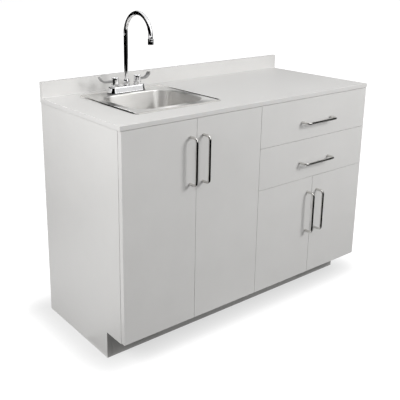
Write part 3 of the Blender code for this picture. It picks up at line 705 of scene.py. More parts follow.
def make_sink():
    """Pressed bowl: the rim rolls up and over to the deck, and the bowl drops from the deck to its drain.
    The rim is polished at its sides and back, and satin at its front, where it is also darkened as painted
    shade that holds back the lamps' highlight."""
    low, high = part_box("sink")
    drain, drain_radius, _, flange_top = round_size("strainer_body")
    lip_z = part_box("countertop")[1].z + SINK_LIFT
    deck_z = lip_z + RIM_RISE - DECK_DROP
    seat_z = flange_top - DRAIN_RECESS
    floor_z = seat_z + DRAIN_RECESS + FLOOR_FALL
    item = begin("sink_bowl")
    plate(low.xy, high.xy, lip_z, SINK_CORNER)
    roll(RIM_STEPS, RIM_ROLL, RIM_RISE)
    for down in DECK_SLOPE:
        inset((RIM_BEAD - RIM_ROLL) / len(DECK_SLOPE), -DECK_DROP * down)
    bpy.ops.mesh.delete(type="FACE")

    mouth_low = (low.x + BOWL_SIDE - BOWL_LIP, low.y + BOWL_FRONT - BOWL_LIP)
    mouth_high = (high.x - BOWL_SIDE + BOWL_LIP, high.y - LEDGE + BOWL_LIP)
    plate(mouth_low, mouth_high, deck_z, BOWL_CORNER + BOWL_LIP)
    roll(LIP_STEPS, BOWL_LIP, -BOWL_LIP, from_crown=True)
    wall = deck_z - BOWL_LIP - floor_z - FLOOR_RADIUS
    for _ in range(WALL_STEPS):
        inset(BOWL_DRAFT / WALL_STEPS, -wall / WALL_STEPS)
    roll(FLOOR_STEPS, FLOOR_RADIUS, -FLOOR_RADIUS)
    bpy.ops.mesh.delete(type="FACE")

    outer, inner, hole = (drain_radius + step for step in (DRAIN_RECESS, DRAIN_GAP, -DRAIN_SEAT))
    seat = (drain.x, drain.y, seat_z)
    bpy.ops.mesh.select_mode(type="EDGE")
    bpy.ops.mesh.primitive_circle_add(
        vertices=4 * (CORNER_STEPS + 1), radius=outer, location=(drain.x, drain.y, floor_z - FLOOR_FALL))
    extrude(0.0, 0.0, -DRAIN_RECESS)
    shrink(inner / outer, seat)
    bpy.ops.mesh.extrude_region_move()
    shrink(hole / inner, seat)

    bridge(DECK_CUTS, deck_z)
    bridge(FLOOR_CUTS, floor_z, floor_z - FLOOR_FALL)
    turn_towards(item, Z, 1)
    thicken(item, SINK_SHEET)
    smooth(item)
    for face in item.data.polygons:
        place = face.center
        if place.z > lip_z - RIM_RISE:
            if min(place.x - low.x, high.x - place.x, high.y - place.y) < RIM_BEAD:
                face.material_index = 1
            # The front band takes the satin steel darkened as painted shade
            elif place.y - low.y < RIM_BEAD:
                face.material_index = 2
    dress(item, "cabinet", "sink_steel", STEEL, RIM_STEEL, SATIN_SHADED_FRONT_RIM_STEEL, stands_for="sink")


def make_strainer():
    """Fixed-grid strainer: a flanged cup with holes in its floor and a spigot below."""
    centre, flange, foot, head = round_size("strainer_body")
    wall = STRAINER_WALL
    bore = flange - STRAINER_FLANGE
    cup_floor = head - STRAINER_DEPTH
    item = lathe("drain_strainer", centre, [
        (0.0, cup_floor), (bore, cup_floor, 0.006), (bore, head - wall), (bore + wall, head, 0.0012),
        (flange - STRAINER_EDGE, head, 0.0006), (flange, head - wall), (bore + wall, head - wall),
        (bore + wall, cup_floor - wall, 0.004), (SPIGOT_RADIUS, cup_floor - wall), (SPIGOT_RADIUS, foot),
        (SPIGOT_RADIUS - wall, foot), (SPIGOT_RADIUS - wall, cup_floor - wall), (0.0, cup_floor - wall),
    ])
    for i in range(GRID_HOLES):
        angle = 2 * math.pi * i / GRID_HOLES
        out = Vector((math.cos(angle), math.sin(angle), 0.0)) * GRID_RADIUS
        cut(item, rod("grid_tool", (*(centre + out).xy, cup_floor), GRID_HOLE, 8 * wall, sides=20))
    smooth(item)
    dress(item, "cabinet", "chrome", CHROME, stands_for="strainer_body")


def make_drain_pipe():
    """Locknut of the strainer, and the tailpiece below it."""
    centre, outer, foot, head = round_size("strainer_locknut")
    nut = lathe("drain_locknut", centre, [
        (LOCKNUT_BORE, head), (outer - LOCKNUT_NECK, head, 0.0008),
        (outer - LOCKNUT_NECK, head - LOCKNUT_STEP),
        (outer, head - LOCKNUT_STEP - LOCKNUT_CHAMFER, 0.0008), (outer, foot, 0.0012),
        (LOCKNUT_BORE, foot),
    ], ring=True)
    dress(nut, "cabinet", "zinc_plate", ZINC, stands_for="strainer_locknut")
    _, sleeve, foot, head = round_size("tailpiece")
    knee = head - SLEEVE_LENGTH
    pipe = lathe("drain_tailpiece", centre, [
        (sleeve - TAIL_SHEET, head), (sleeve, head, 0.0005), (sleeve, knee, 0.003),
        (TAIL_RADIUS, knee - SLEEVE_TAPER, 0.003),
        *((TAIL_RADIUS + out, foot + up, *rounding) for out, up, *rounding in TAIL_BEAD),
        (TAIL_RADIUS, foot, 0.0004), (TAIL_RADIUS - TAIL_SHEET, foot),
        (TAIL_RADIUS - TAIL_SHEET, knee - SLEEVE_TAPER), (sleeve - TAIL_SHEET, knee - SLEEVE_INNER_TAPER),
    ], ring=True)
    dress(pipe, "cabinet", "chrome", CHROME, stands_for="tailpiece")


# Faucet

GASKET = 0.0032
GASKET_INSET = 0.0008
BASE_END_FLAT = 0.002
BASE_FOOT = (0.0006, 0.0012)
BASE_TAPER = 0.0030
BASE_ROLL = 0.005
STEM_BORE = 0.0083
NUT_BORE = 0.01055
NUT_ARRIS = 0.0012
HUB_RADIUS = 0.0145
HUB_HEIGHT = 0.025
HUB_CROWN = 0.0018
HUB_TAPER = 0.0002
HUB_CHAMFER = 0.0006
HUB_SOFT = 0.0003
HUB_WALL = ((0.00032, 0.33), (0.00057, 0.66), (0.00074, 1.0, HUB_CROWN))
CAP_RECESS = ((0.0058, 0.0, 0.0002), (0.0056, 0.0006, 0.0002), (0.0, 0.0006))
BLADE_REACH = 0.064
BLADE_RISE = 0.021
BLADE_TURN = math.radians(75)
BLADE_SWEEP = math.radians(10.5)
BLADE_LIFT = 0.010
BLADE_STEPS = 8
BLADE_START = 0.005
BLADE_STUB = 0.002
BLADE_NECK = (0.012, 0.018)
BLADE_ROOT = (0.013, 0.0085)
BLADE_PADDLE = (0.0180, 0.0062)
BLADE_TIP = (0.0140, 0.0046)
BLADE_EDGE = 0.0011
BLADE_EDGE_ANGLE = math.radians(60)
COLLAR_BAND = 0.0045
COLLAR_STEP = 0.0012
COLLAR_SLOPE = 0.001
COLLAR_SHOULDER = 0.006
TUBE_IN_AERATOR = 0.008
AERATOR_SOCKET = 0.0083
AERATOR_BORE = 0.0068
AERATOR_SEAT = (0.010, 0.012)
AERATOR_CHAMFER = 0.0012
AERATOR_SOFT = 0.0003
AERATOR_GROOVE = (0.0070, 0.0080, 0.0090)
SCREEN_LIFT = 0.0015
SCREEN_HEIGHT = 0.004
SCREEN_RADIUS = 0.0066
SCREEN_RINGS = ((0.0020, 0.0), (0.0024, 0.0008), (0.0042, 0.0008), (0.0046, 0.0))


def make_faucet_base():
    """Long cover with rounded ends, on a dark gasket whose black is also painted shade under the cover's
    edge.
    """
    low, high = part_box("faucet_base")
    corner = (high.y - low.y) / 2 - BASE_END_FLAT
    edge = Vector((GASKET_INSET, GASKET_INSET))
    item = begin("faucet_gasket_and_shade")
    plate(low.xy + edge, high.xy - edge, low.z, corner - GASKET_INSET)
    inset(HAIR, GASKET)
    close_below()
    # Black of the gasket, partly painted shade under the cover
    dress(item, "cabinet", "chrome", BLACK_PLASTIC)
    item = begin("faucet_cover")
    plate(low.xy, high.xy, low.z + GASKET, corner)
    inset(*BASE_FOOT)
    inset(BASE_TAPER, high.z - low.z - GASKET - BASE_FOOT[1] - BASE_ROLL)
    roll(RIM_STEPS, BASE_ROLL, BASE_ROLL)
    close_below()
    smooth(item)
    dress(item, "cabinet", "chrome", CHROME, stands_for="faucet_base")


def make_bonnet(side):
    """Low ring that the handle turns on."""
    name = side + "_bonnet"
    centre, outer, foot, head = round_size(name)
    item = lathe(side + "_bonnet_ring", centre, [
        (STEM_BORE, foot), (outer, foot, 0.0004), (outer - HUB_TAPER, head - HUB_CHAMFER, HUB_SOFT),
        (outer - HUB_TAPER - HUB_CHAMFER, head, HUB_SOFT), (STEM_BORE, head),
    ], ring=True)
    dress(item, "cabinet", "chrome", CHROME, stands_for=name)


def make_shank_nut(side):
    name = side + "_nut"
    low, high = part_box(name)
    centre = centre_of(name)
    item = rod(side + "_shank_nut", centre, (high.y - low.y) / 2, high.z - low.z, sides=6)
    soften(item, NUT_ARRIS)
    cut(item, rod("nut_tool", centre, NUT_BORE, 4 * (high.z - low.z)))
    smooth(item)
    dress(item, "cabinet", "brass", BRASS, stands_for=name)


def blade_stations(root_z):
    """Way of a blade's middle, out from the hub's axis: (out, height, lean, width, thickness)."""
    radius = BLADE_RISE / (1 - math.cos(BLADE_TURN))
    run = BLADE_REACH - radius * math.sin(BLADE_TURN)
    places = [(BLADE_NECK[0], root_z, 0.0), (max(run, BLADE_NECK[1]), root_z, 0.0)]
    for step in range(1, BLADE_STEPS + 1):
        lean = BLADE_TURN * step / BLADE_STEPS
        out = run + radius * math.sin(lean)
        if out > places[-1][0]:
            places.append((out, root_z + radius * (1 - math.cos(lean)), lean))
    stations = []
    for i, (out, height, lean) in enumerate(places):
        share = i / (len(places) - 2)
        first, last = (BLADE_ROOT, BLADE_PADDLE) if share <= 1 else (BLADE_PADDLE, BLADE_TIP)
        share = min(share, 1.0)
        width, depth = (start + (end - start) * share for start, end in zip(first, last))
        stations.append((out, height, lean, width, depth))
    return stations


def make_blade(name, axis, hub_z, hand):
    """Wrist blade: a bar out of the hub that widens, thins, turns up and ends in a round tip."""
    root_z = hub_z + BLADE_LIFT
    width, depth = BLADE_ROOT
    last, last_lean = Vector((axis.x + BLADE_START, axis.y, root_z)), 0.0
    item = block(name, (last.x - BLADE_STUB, axis.y - width / 2, root_z - depth / 2),
                 (last.x, axis.y + width / 2, root_z + depth / 2))
    edit(item)
    pick("FACE", lambda face: looks(face, X, 1))
    for out, height, lean, new_width, new_depth in blade_stations(root_z):
        place = Vector((axis.x + out, axis.y, height))
        extrude(*(place - last))
        bpy.ops.transform.rotate(
            value=lean - last_lean, orient_axis="Y", orient_type="GLOBAL", center_override=place)
        thinner = new_depth / depth
        bpy.ops.transform.resize(value=(thinner, new_width / width, thinner), center_override=place)
        last, last_lean, width, depth = place, lean, new_width, new_depth
    tidy_mesh()
    pick("EDGE", lambda edge: edge.calc_face_angle(0.0) > BLADE_EDGE_ANGLE)
    bpy.ops.mesh.bevel(offset=BLADE_EDGE, segments=2)
    select_all()
    heading = BLADE_SWEEP if hand > 0 else math.pi - BLADE_SWEEP
    bpy.ops.transform.rotate(value=-heading, orient_axis="Z", orient_type="GLOBAL", center_override=axis)
    finish_edit()
    apply(item, "SUBSURF", levels=2, render_levels=2)
    smooth(item)
    return item


def make_handle(name, hand):
    """Hub of a handle, and its wrist blade, which points to the left (-1) or the right (1)."""
    axis = centre_of(name.replace("_handle", "_bonnet"))
    hub_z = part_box(name)[0].z
    outer = HUB_RADIUS - HUB_TAPER
    hub = lathe(name + "_hub", axis, [
        (0.0, hub_z), (outer - HUB_CHAMFER, hub_z, HUB_SOFT), (outer, hub_z + HUB_CHAMFER, HUB_SOFT),
        *((outer - lean, hub_z + HUB_HEIGHT * share, *rounding) for lean, share, *rounding in HUB_WALL),
        *((radius, hub_z + HUB_HEIGHT - down, *rounding) for radius, down, *rounding in CAP_RECESS),
    ])
    dress(hub, name, "chrome", CHROME, stands_for=name)
    blade = make_blade(name + "_blade", axis, hub_z, hand)
    # The blade takes chrome darkened as painted shade
    dress(blade, name, "chrome", SATIN_SHADED_CHROME)


def make_collar():
    centre, outer, foot, head = round_size("spout_collar")
    item = lathe("spout_collar_nut", centre, [
        (STEM_BORE, foot), (outer, foot, 0.0006), (outer, foot + COLLAR_BAND, 0.0006),
        (outer - COLLAR_STEP, foot + COLLAR_BAND + COLLAR_SLOPE, 0.0004),
        (outer - COLLAR_STEP, head - COLLAR_SHOULDER, 0.003), (STEM_BORE + COLLAR_STEP, head, 0.0008),
        (STEM_BORE, head),
    ], ring=True)
    dress(item, "cabinet", "chrome", CHROME, stands_for="spout_collar")


def make_spout():
    """Gooseneck: a tube drawn up, over and down to its outlet."""
    low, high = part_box("gooseneck_spout")
    foot = centre_of("spout_collar")
    tube = (high.x - low.x) / 2
    radius = (foot.y - low.y - tube) / 2
    arch_z = high.z - tube - radius
    item = bar("spout_tube", (foot.x, foot.y, low.z), tube)
    extrude(0.0, 0.0, arch_z - low.z)
    bend((foot.x, foot.y - radius, arch_z), (1.0, 0.0, 0.0), -math.pi, ARCH_STEPS)
    extrude(0.0, 0.0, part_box("aerator")[1].z - TUBE_IN_AERATOR - arch_z)
    finish_edit()
    smooth(item)
    dress(item, "spout", "chrome", CHROME, stands_for="gooseneck_spout")


def make_aerator():
    """Grooved shell at the spout's end, with a dark screen in it."""
    centre, outer, foot, head = round_size("aerator")
    neck = outer - AERATOR_CHAMFER
    above, groove, below = (head - down for down in AERATOR_GROOVE)
    shell = lathe("aerator_shell", centre, [
        (AERATOR_SOCKET, head), (neck, head, 0.0005), (outer, head - AERATOR_CHAMFER, 0.0005),
        (outer, above, AERATOR_SOFT), (neck, groove, AERATOR_SOFT), (outer, below, AERATOR_SOFT),
        (outer, foot + AERATOR_CHAMFER, 0.0006), (neck, foot, 0.0005), (AERATOR_BORE, foot, AERATOR_SOFT),
        (AERATOR_BORE, foot + AERATOR_SEAT[0]), (AERATOR_SOCKET, foot + AERATOR_SEAT[1]),
    ], ring=True)
    dress(shell, "spout", "chrome", CHROME, stands_for="aerator")
    screen_z = foot + SCREEN_LIFT
    screen = lathe("aerator_screen", centre, [
        (0.0, screen_z), *((radius, screen_z + up, AERATOR_SOFT) for radius, up in SCREEN_RINGS),
        (SCREEN_RADIUS, screen_z), (SCREEN_RADIUS, screen_z + SCREEN_HEIGHT),
        (0.0, screen_z + SCREEN_HEIGHT),
    ])
    dress(screen, "spout", "chrome", BLACK_PLASTIC)


def make_valve_body():
    """The brass valve body keeps its own shape."""
    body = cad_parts["valve_body"]
    body.data.materials.clear()
    body.data.materials.append(BRASS)


# Pulls

PULL_BEND = 0.014


def pull_line(name, y):
    """Middle of a pull at a depth, the way it runs, its wire's radius, and its feet off the middle."""
    low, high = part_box(name)
    half = (high - low) / 2
    wire, length = sorted((half.x, half.z))
    along = Vector((0.0, 0.0, 1.0)) if half.z > half.x else Vector((1.0, 0.0, 0.0))
    return Vector(((low.x + high.x) / 2, y, (low.z + high.z) / 2)), along, wire, length - wire


def make_pull(name, body):
    """Wire pull: out of the front, round a bend, along, round again and back."""
    front, back = (corner.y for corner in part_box(name))
    centre, along, wire, reach = pull_line(name, back)
    across = Vector((0.0, 1.0, 0.0)).cross(along)
    out = Vector((0.0, front + wire + PULL_BEND - back, 0.0))
    straight = along * (reach - PULL_BEND)
    item = bar(name + "_wire", centre - along * reach, wire, LYING)
    extrude(*out)
    bend(centre + out - straight, across, math.pi / 2)
    extrude(*(straight * 2))
    bend(centre + out + straight, across, math.pi / 2)
    extrude(*-out)
    finish_edit()
    smooth(item)
    dress(item, body, "satin_nickel", NICKEL, stands_for=name)


# Screws and bumpers

SCREW_RADIUS = 0.0036
SCREW_HEIGHT = 0.0016
SCREW_RIM = 0.45 * SCREW_HEIGHT
SCREW_CROWN = 0.62 * SCREW_RADIUS
CROSS_ARM = 0.55 * SCREW_RADIUS
CROSS_SLOT = 0.13 * SCREW_RADIUS
CROSS_FLOOR = 0.35 * SCREW_HEIGHT
BUMPER_RADIUS = 0.0045
BUMPER_HEIGHT = 0.0014
BUMPER_SHOULDER = (0.94 * BUMPER_RADIUS, 0.7 * BUMPER_HEIGHT)
BUMPER_CROWN = 0.5 * BUMPER_RADIUS
FACINGS = {
    "+y": (-math.pi / 2, 0.0, 0.0),
    "+x": (0.0, math.pi / 2, 0.0),
    "-x": (0.0, -math.pi / 2, 0.0),
}


def make_screw_model():
    """Pan head with a cross, on the origin and looking up."""
    screw = lathe("screw_model", (0.0, 0.0), [
        (0.0, 0.0), (SCREW_RADIUS, 0.0), (SCREW_RADIUS, SCREW_RIM, 0.0005),
        (SCREW_CROWN, SCREW_HEIGHT, 0.0005), (0.0, SCREW_HEIGHT),
    ], steps=SMALL_LATHE_STEPS)
    for x, y in ((CROSS_ARM, CROSS_SLOT), (CROSS_SLOT, CROSS_ARM)):
        cut(screw, block("cross_tool", (-x, -y, CROSS_FLOOR), (x, y, 2 * SCREW_HEIGHT)))
    smooth(screw)
    return screw


def make_bumper_model():
    """Round stick-on buffer, on the origin and looking up."""
    return lathe("bumper_model", (0.0, 0.0), [
        (0.0, 0.0), (BUMPER_RADIUS, 0.0), (*BUMPER_SHOULDER, 0.0003),
        (BUMPER_CROWN, BUMPER_HEIGHT, 0.0008), (0.0, BUMPER_HEIGHT),
    ], steps=SMALL_LATHE_STEPS)


def stood(model, name, place, facing):
    """Copy of a model drawn on the origin, turned to a facing and moved to its place."""
    choose(model)
    bpy.ops.object.duplicate(linked=False)
    made = bpy.context.object
    made.rotation_euler = FACINGS[facing]
    made.location = place
    return named(name)


def stand_all(model, places, facing="+y"):
    return [stood(model, model.name + "_copy", place, facing) for place in places]


def pull_screws(name, y):
    """Places of a pull's two screws, on a face at y that looks back."""
    centre, along, _, reach = pull_line(name, y)
    return [centre - along * reach, centre + along * reach]


# Doors and hinges

CUP_RADIUS = 0.0175
CUP_WALL = 0.0012
CUP_DEPTH = 0.0115
CUP_ARRIS = 0.0004
FLANGE_HALF = (0.020, 0.027)
FLANGE_THICKNESS = 0.0012
FLANGE_CORNER = 0.013
FLANGE_SCREW = 0.0222
ARM_DEPTH = 0.011
ARM_HEIGHT = 0.016
ARM_NOSE = 0.008
ARM_CRANK = 0.012
ARM_LENGTH = 0.070
ARM_ARRIS = 0.0010
ARM_SCREWS = (0.034, 0.054)
TROUGH_EDGE = 0.0025
TROUGH_SLOPE = 0.0004
TROUGH_DEPTH = 0.0016
WING_LENGTH = 0.050
WING_WIDTH = 0.032
WING_THICKNESS = 0.003
WING_SETBACK = 0.026
WING_CORNER = 0.008
WING_ARRIS = 0.0005
WING_SCREW = 0.0165
BUMPER_INSET = 0.012
BUMPER_ABOVE_FOOT = 0.010
BUMPER_BELOW_HEAD = 0.030


def hung_left(door):
    return door.endswith("_left")


def make_door(name):
    """Door board with its two borings for the hinge cups."""
    item = block(name + "_board", *front_box(name))
    for level in LEVELS:
        cup = "%s_cup_%s" % (name, level)
        low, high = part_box(cup)
        centre = centre_of(cup)
        place = (centre.x, high.y, centre.z)
        cut(item, rod("cup_tool", place, CUP_RADIUS + FIT, 2 * (high.y - low.y), turn=LYING, sides=48))
    finish_board(item, name, name)


def make_cup_model():
    """Hinge cup, on the origin with its mouth up: a flange with a round cup let through it."""
    item = begin("cup_model")
    plate([-half for half in FLANGE_HALF], FLANGE_HALF, 0.0, FLANGE_CORNER, steps=7)
    extrude(0.0, 0.0, FLANGE_THICKNESS)
    finish_edit()
    for radius, low, high, operation in (
            (CUP_RADIUS, -CUP_DEPTH, FLANGE_THICKNESS / 2, "UNION"),
            (CUP_RADIUS - CUP_WALL, CUP_WALL - CUP_DEPTH, FLANGE_THICKNESS * 2, "DIFFERENCE")):
        cut(item, rod("cup_tool", (0.0, 0.0, (low + high) / 2), radius, high - low), operation)
    soften(item, CUP_ARRIS)
    smooth(item)
    return item


def make_arm(name, door):
    """Hinge arm: a nose by the cup, a crank back to the board, and a mounting plate with wings.
    Gives the places of its screws, and the way they face."""
    low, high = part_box(name)
    cup = centre_of(name.replace("_arm_", "_cup_"))
    centre_z = (low.z + high.z) / 2
    side = 1 if hung_left(door) else -1
    board_x = low.x - FIT if side > 0 else high.x + FIT
    nose = max((cup.x - board_x) * side - ARM_DEPTH / 2, FIT)
    shank = WING_THICKNESS / 2

    def across(out, far, y, length, height):
        """Corners of a block from out to far off the board, about the arm's middle height."""
        near_x, far_x = sorted((board_x + side * out, board_x + side * far))
        return (near_x, y, centre_z - height / 2), (far_x, y + length, centre_z + height / 2)

    item = block(name + "_bar", *across(nose, nose + ARM_DEPTH, low.y, ARM_NOSE, ARM_HEIGHT))
    edit(item)
    pick("FACE", lambda face: looks(face, Y, 1))
    extrude(side * (shank - nose), ARM_CRANK, 0.0)
    extrude(0.0, ARM_LENGTH - ARM_NOSE - ARM_CRANK, 0.0)
    pick("FACE", lambda face: looks(face, X, side) and middle(face).y > low.y + ARM_NOSE + ARM_CRANK)
    inset(TROUGH_EDGE, 0.0)
    inset(TROUGH_SLOPE, -TROUGH_DEPTH)
    finish_edit()
    soften(item, ARM_ARRIS)
    wing_y = low.y + WING_SETBACK
    wings = block(name + "_wings", *across(FIT, FIT + WING_THICKNESS, wing_y, WING_WIDTH, WING_LENGTH))
    edit(wings)
    pick("EDGE", lambda edge: span(edge, X) > WING_THICKNESS / 2)
    bpy.ops.mesh.bevel(offset=WING_CORNER, segments=5)
    finish_edit()
    soften(wings, WING_ARRIS)
    item = joined(name + "_bar", (wings, item))
    smooth(item)
    dress(item, "cabinet", "zinc_plate", ZINC, stands_for=name)
    on_wing = board_x + side * (FIT + WING_THICKNESS)
    on_arm = board_x + side * (shank + ARM_DEPTH - TROUGH_DEPTH)
    places = [(on_wing, wing_y + WING_WIDTH / 2, centre_z + up) for up in (-WING_SCREW, WING_SCREW)]
    places += [(on_arm, low.y + back, centre_z) for back in ARM_SCREWS]
    return places, "+x" if side > 0 else "-x"


def make_doors(screw):
    bumper = make_bumper_model()
    cup_model = make_cup_model()
    arm_screws = []
    for door in DOORS:
        make_door(door)
        low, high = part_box(door)
        seat = high.y + FIT
        places = []
        for level in LEVELS:
            cup = "%s_cup_%s" % (door, level)
            centre = centre_of(cup)
            made = stood(cup_model, cup + "_pressing", (centre.x, seat, centre.z), "+y")
            dress(made, door, "zinc_plate", ZINC, stands_for=cup)
            for up in (-FLANGE_SCREW, FLANGE_SCREW):
                places.append((centre.x, seat + FLANGE_THICKNESS, centre.z + up))
            arm_screws += stand_all(screw, *make_arm("%s_arm_%s" % (door, level), door))
        screws = stand_all(screw, places + pull_screws(door + "_pull", high.y))
        dress(joined(door + "_screws", screws), door, "zinc_plate", ZINC)
        edge_x = high.x - BUMPER_INSET if hung_left(door) else low.x + BUMPER_INSET
        heights = (low.z + BUMPER_ABOVE_FOOT, high.z - BUMPER_BELOW_HEAD)
        pads = stand_all(bumper, [(edge_x, high.y, z) for z in heights])
        dress(joined(door + "_bumpers", pads), door, "grey_enamel", GREY_RUBBER)
    dress(joined("hinge_plate_screws", arm_screws), "cabinet", "zinc_plate", ZINC)
    for model in (bumper, cup_model):
        bpy.data.objects.remove(model, do_unlink=True)


# Drawer trays and slides

TRAY_SHEET = 0.0015
TRAY_CORNER = 0.006
TRAY_FOLD = 0.004
TRAY_RIM = 0.0015
RUNNER_THICKNESS = 0.0025
RUNNER_ARRIS = 0.0006
SLIDE_SHEET = 0.0015
SLIDE_FOLD = 0.002
SLIDE_SPACE = 0.0127


def make_tray(drawer):
    """Folded steel tray: rounded corners, a narrow rim turned in, and a runner along each side."""
    name = drawer + "_tray"
    low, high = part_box(name)
    slides = [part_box("%s_slide_%s" % (drawer, hand)) for hand in ("left", "right")]
    walls = (slides[0][0].x - FIT + SLIDE_SPACE, slides[1][1].x + FIT - SLIDE_SPACE)
    item = block(name + "_pressing", (walls[0], low.y, low.z), (walls[1], high.y, high.z))
    edit(item)
    pick("EDGE", lambda edge: span(edge, Z) > (high.z - low.z) / 2)
    bpy.ops.mesh.bevel(offset=TRAY_CORNER, segments=5)
    pick("EDGE", lambda edge: all(abs(point.co.z - low.z) < HAIR for point in edge.verts))
    bpy.ops.mesh.bevel(offset=TRAY_FOLD, segments=4)
    pick("FACE", lambda face: looks(face, Z, 1) and middle(face).z > high.z - HAIR)
    inset(TRAY_RIM, 0.0)
    bpy.ops.mesh.delete(type="FACE")
    finish_edit()
    thicken(item, TRAY_SHEET)
    pieces = [item]
    for (slide_low, slide_high), out, wall in ((slides[0], 1, walls[0]), (slides[1], -1, walls[1])):
        web = slide_low.x if out > 0 else slide_high.x
        ends = sorted((web + out * (SLIDE_SHEET + FIT), wall + out * TRAY_SHEET / 2))
        runner_z = slide_low.z + SLIDE_SHEET + FIT
        runner = block("runner", (ends[0], slide_low.y, runner_z),
                       (ends[1], high.y - TRAY_SHEET / 2, runner_z + RUNNER_THICKNESS))
        soften(runner, RUNNER_ARRIS)
        pieces.append(runner)
    item = joined(name + "_pressing", pieces[::-1])
    smooth(item)
    dress(item, drawer, "grey_enamel", ENAMEL, stands_for=name)


def make_slide(name, out):
    """C-shaped slide, open towards the tray and at its ends."""
    low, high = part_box(name)
    item = block(name + "_channel", low, high)
    edit(item)
    pick("FACE", lambda face: looks(face, X, out) or looks(face, Y, 1) or looks(face, Y, -1))
    bpy.ops.mesh.delete(type="FACE")
    pick("EDGE", lambda edge: not edge.is_boundary)
    bpy.ops.mesh.bevel(offset=SLIDE_FOLD, segments=3)
    turn_towards(item, X, -out)
    thicken(item, SLIDE_SHEET)
    smooth(item)
    dress(item, "cabinet", "zinc_plate", ZINC, stands_for=name)


def make_drawer_screws(screw):
    """Screws of the drawers' pulls, inside the trays."""
    for drawer in DRAWERS:
        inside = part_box(drawer + "_tray")[0].y + TRAY_SHEET
        screws = stand_all(screw, pull_screws(drawer + "_pull", inside))
        dress(joined(drawer + "_screws", screws), drawer, "zinc_plate", ZINC)


def make_drawers():
    for drawer in DRAWERS:
        make_tray(drawer)
        make_slide(drawer + "_slide_left", 1)
        make_slide(drawer + "_slide_right", -1)


# Stage, light and camera

WHITE = (1.0, 1.0, 1.0, 1.0)
BLACK = (0.0, 0.0, 0.0, 1.0)
WORLD_LEVEL = 0.61
FLOOR_SIZE = 40
FLOOR_COLOUR = (0.25, 0.25, 0.25, 1.0)
# Glow of the floor at the cabinet's foot, dimmed there as painted shadow, and away from it
FLOOR_GLOW = (0.58, 1.0)
FLOOR_SHADOW_REACH = 0.21
CARD_RADIUS = 1.3
CARD_SIDES = 64
CARD_FOOT = 0.01
CARD_TOP = 0.98
CARD_LIP = 0.40
DIM_GLOW_CARD_FROM = 0.45
BRIGHT_GLOW_CARD = (0.20, 0.90)
# Black cards, and cards that glow dim and bright as painted reflections, all seen only in mirrors
CARD_FINISHES = (("black_card", 0.0), ("dim_glow_card", 0.105), ("bright_glow_card", 0.80))


def on_bright_glow_card(place):
    return BRIGHT_GLOW_CARD[0] < place.x < BRIGHT_GLOW_CARD[1] and place.y < 0.0


# Foot and head of each card above the ring, and where it stands
CARDS_ABOVE = (
    (1.06, 1.95, lambda place: place.x < -0.45 and place.y < 0.40),
    (0.985, 2.35, lambda place: place.x < -0.30 and place.y > 0.40),
    (0.985, 1.07, lambda place: place.x > -0.30 and place.y > 0.0),
    (1.23, 1.95, lambda place: place.x > -0.30 and place.y > 0.0),
    (0.985, 1.75, lambda place: place.x > 0.90 and place.y < 0.0),
    (0.99, 1.45, on_bright_glow_card),
)
# Name, place, target, size, power, and whether it's for the sheen on metal only
LAMPS = (
    ("left_softbox", (-1.90, -0.25, 1.50), (-0.5, 0.0, 0.6), 1.0, 23.5, False),
    ("front_softbox", (1.20, -2.30, 1.85), (0.2, -0.25, 0.6), 1.0, 42.5, False),
    ("overhead_softbox", (0.45, -0.35, 2.30), (0.3, 0.0, 0.85), 1.2, 4.5, False),
    ("front_sheen", (1.10, -2.35, 2.60), (-0.3, 0.1, 0.8), 2.0, 19.0, True),
    ("high_sheen", (0.50, -1.00, 3.00), (-0.1, -0.25, 0.7), 0.8, 8.0, True),
)


def white_ray(tree):
    """1 where the ray comes from the camera, from a mirror or through glass."""
    path = tree.nodes.new("ShaderNodeLightPath").outputs
    both = sums("MAXIMUM", path["Is Camera Ray"], path["Is Glossy Ray"])
    return sums("MAXIMUM", both, path["Is Transmission Ray"])


def make_world():
    """White to the camera and to mirrors, and dimmer as a light."""
    world = bpy.data.worlds.new("studio")
    bpy.context.scene.world = world
    world.use_nodes = True
    tree = world.node_tree
    shader = tree.nodes["Background"].inputs
    shader["Color"].default_value = WHITE
    feed(shader["Strength"], spread(white_ray(tree), 0.0, 1.0, WORLD_LEVEL, 1.0))


def make_floor():
    """Pale floor that glows to white away from the cabinet's foot, and glows less near it as a painted
    shadow.
    """
    choose()
    bpy.ops.mesh.primitive_plane_add(size=FLOOR_SIZE)
    floor = named("floor")
    finish, tree, shader = new_finish(
        "pale_floor", Base_Color=FLOOR_COLOUR, Roughness=0.9, Specular_IOR_Level=0.0, Emission_Color=WHITE)
    low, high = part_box("left_side_panel")[0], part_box("right_side_panel")[1]
    low.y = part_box("toe_kick")[0].y
    centre, half = (low + high) / 2, (high - low) / 2
    vector = tree.nodes.new("ShaderNodeTexCoord").outputs["Object"]
    for operation, value in (
            ("SUBTRACT", centre), ("ABSOLUTE", None), ("SUBTRACT", half), ("MAXIMUM", (0, 0, 0))):
        step = node(tree, "ShaderNodeVectorMath", operation=operation)
        feed(step.inputs[0], vector)
        if value:
            step.inputs[1].default_value = value
        vector = step.outputs["Vector"]
    # Glow is lower near the foot's outline, as painted shadow
    away = node(tree, "ShaderNodeVectorMath", operation="LENGTH")
    feed(away.inputs[0], vector)
    foot_shadow_glow = spread(away.outputs["Value"], 0.0, FLOOR_SHADOW_REACH, *FLOOR_GLOW, "SMOOTHSTEP")
    feed(shader["Emission Strength"], sums("MULTIPLY", white_ray(tree), foot_shadow_glow))
    floor.data.materials.append(finish)


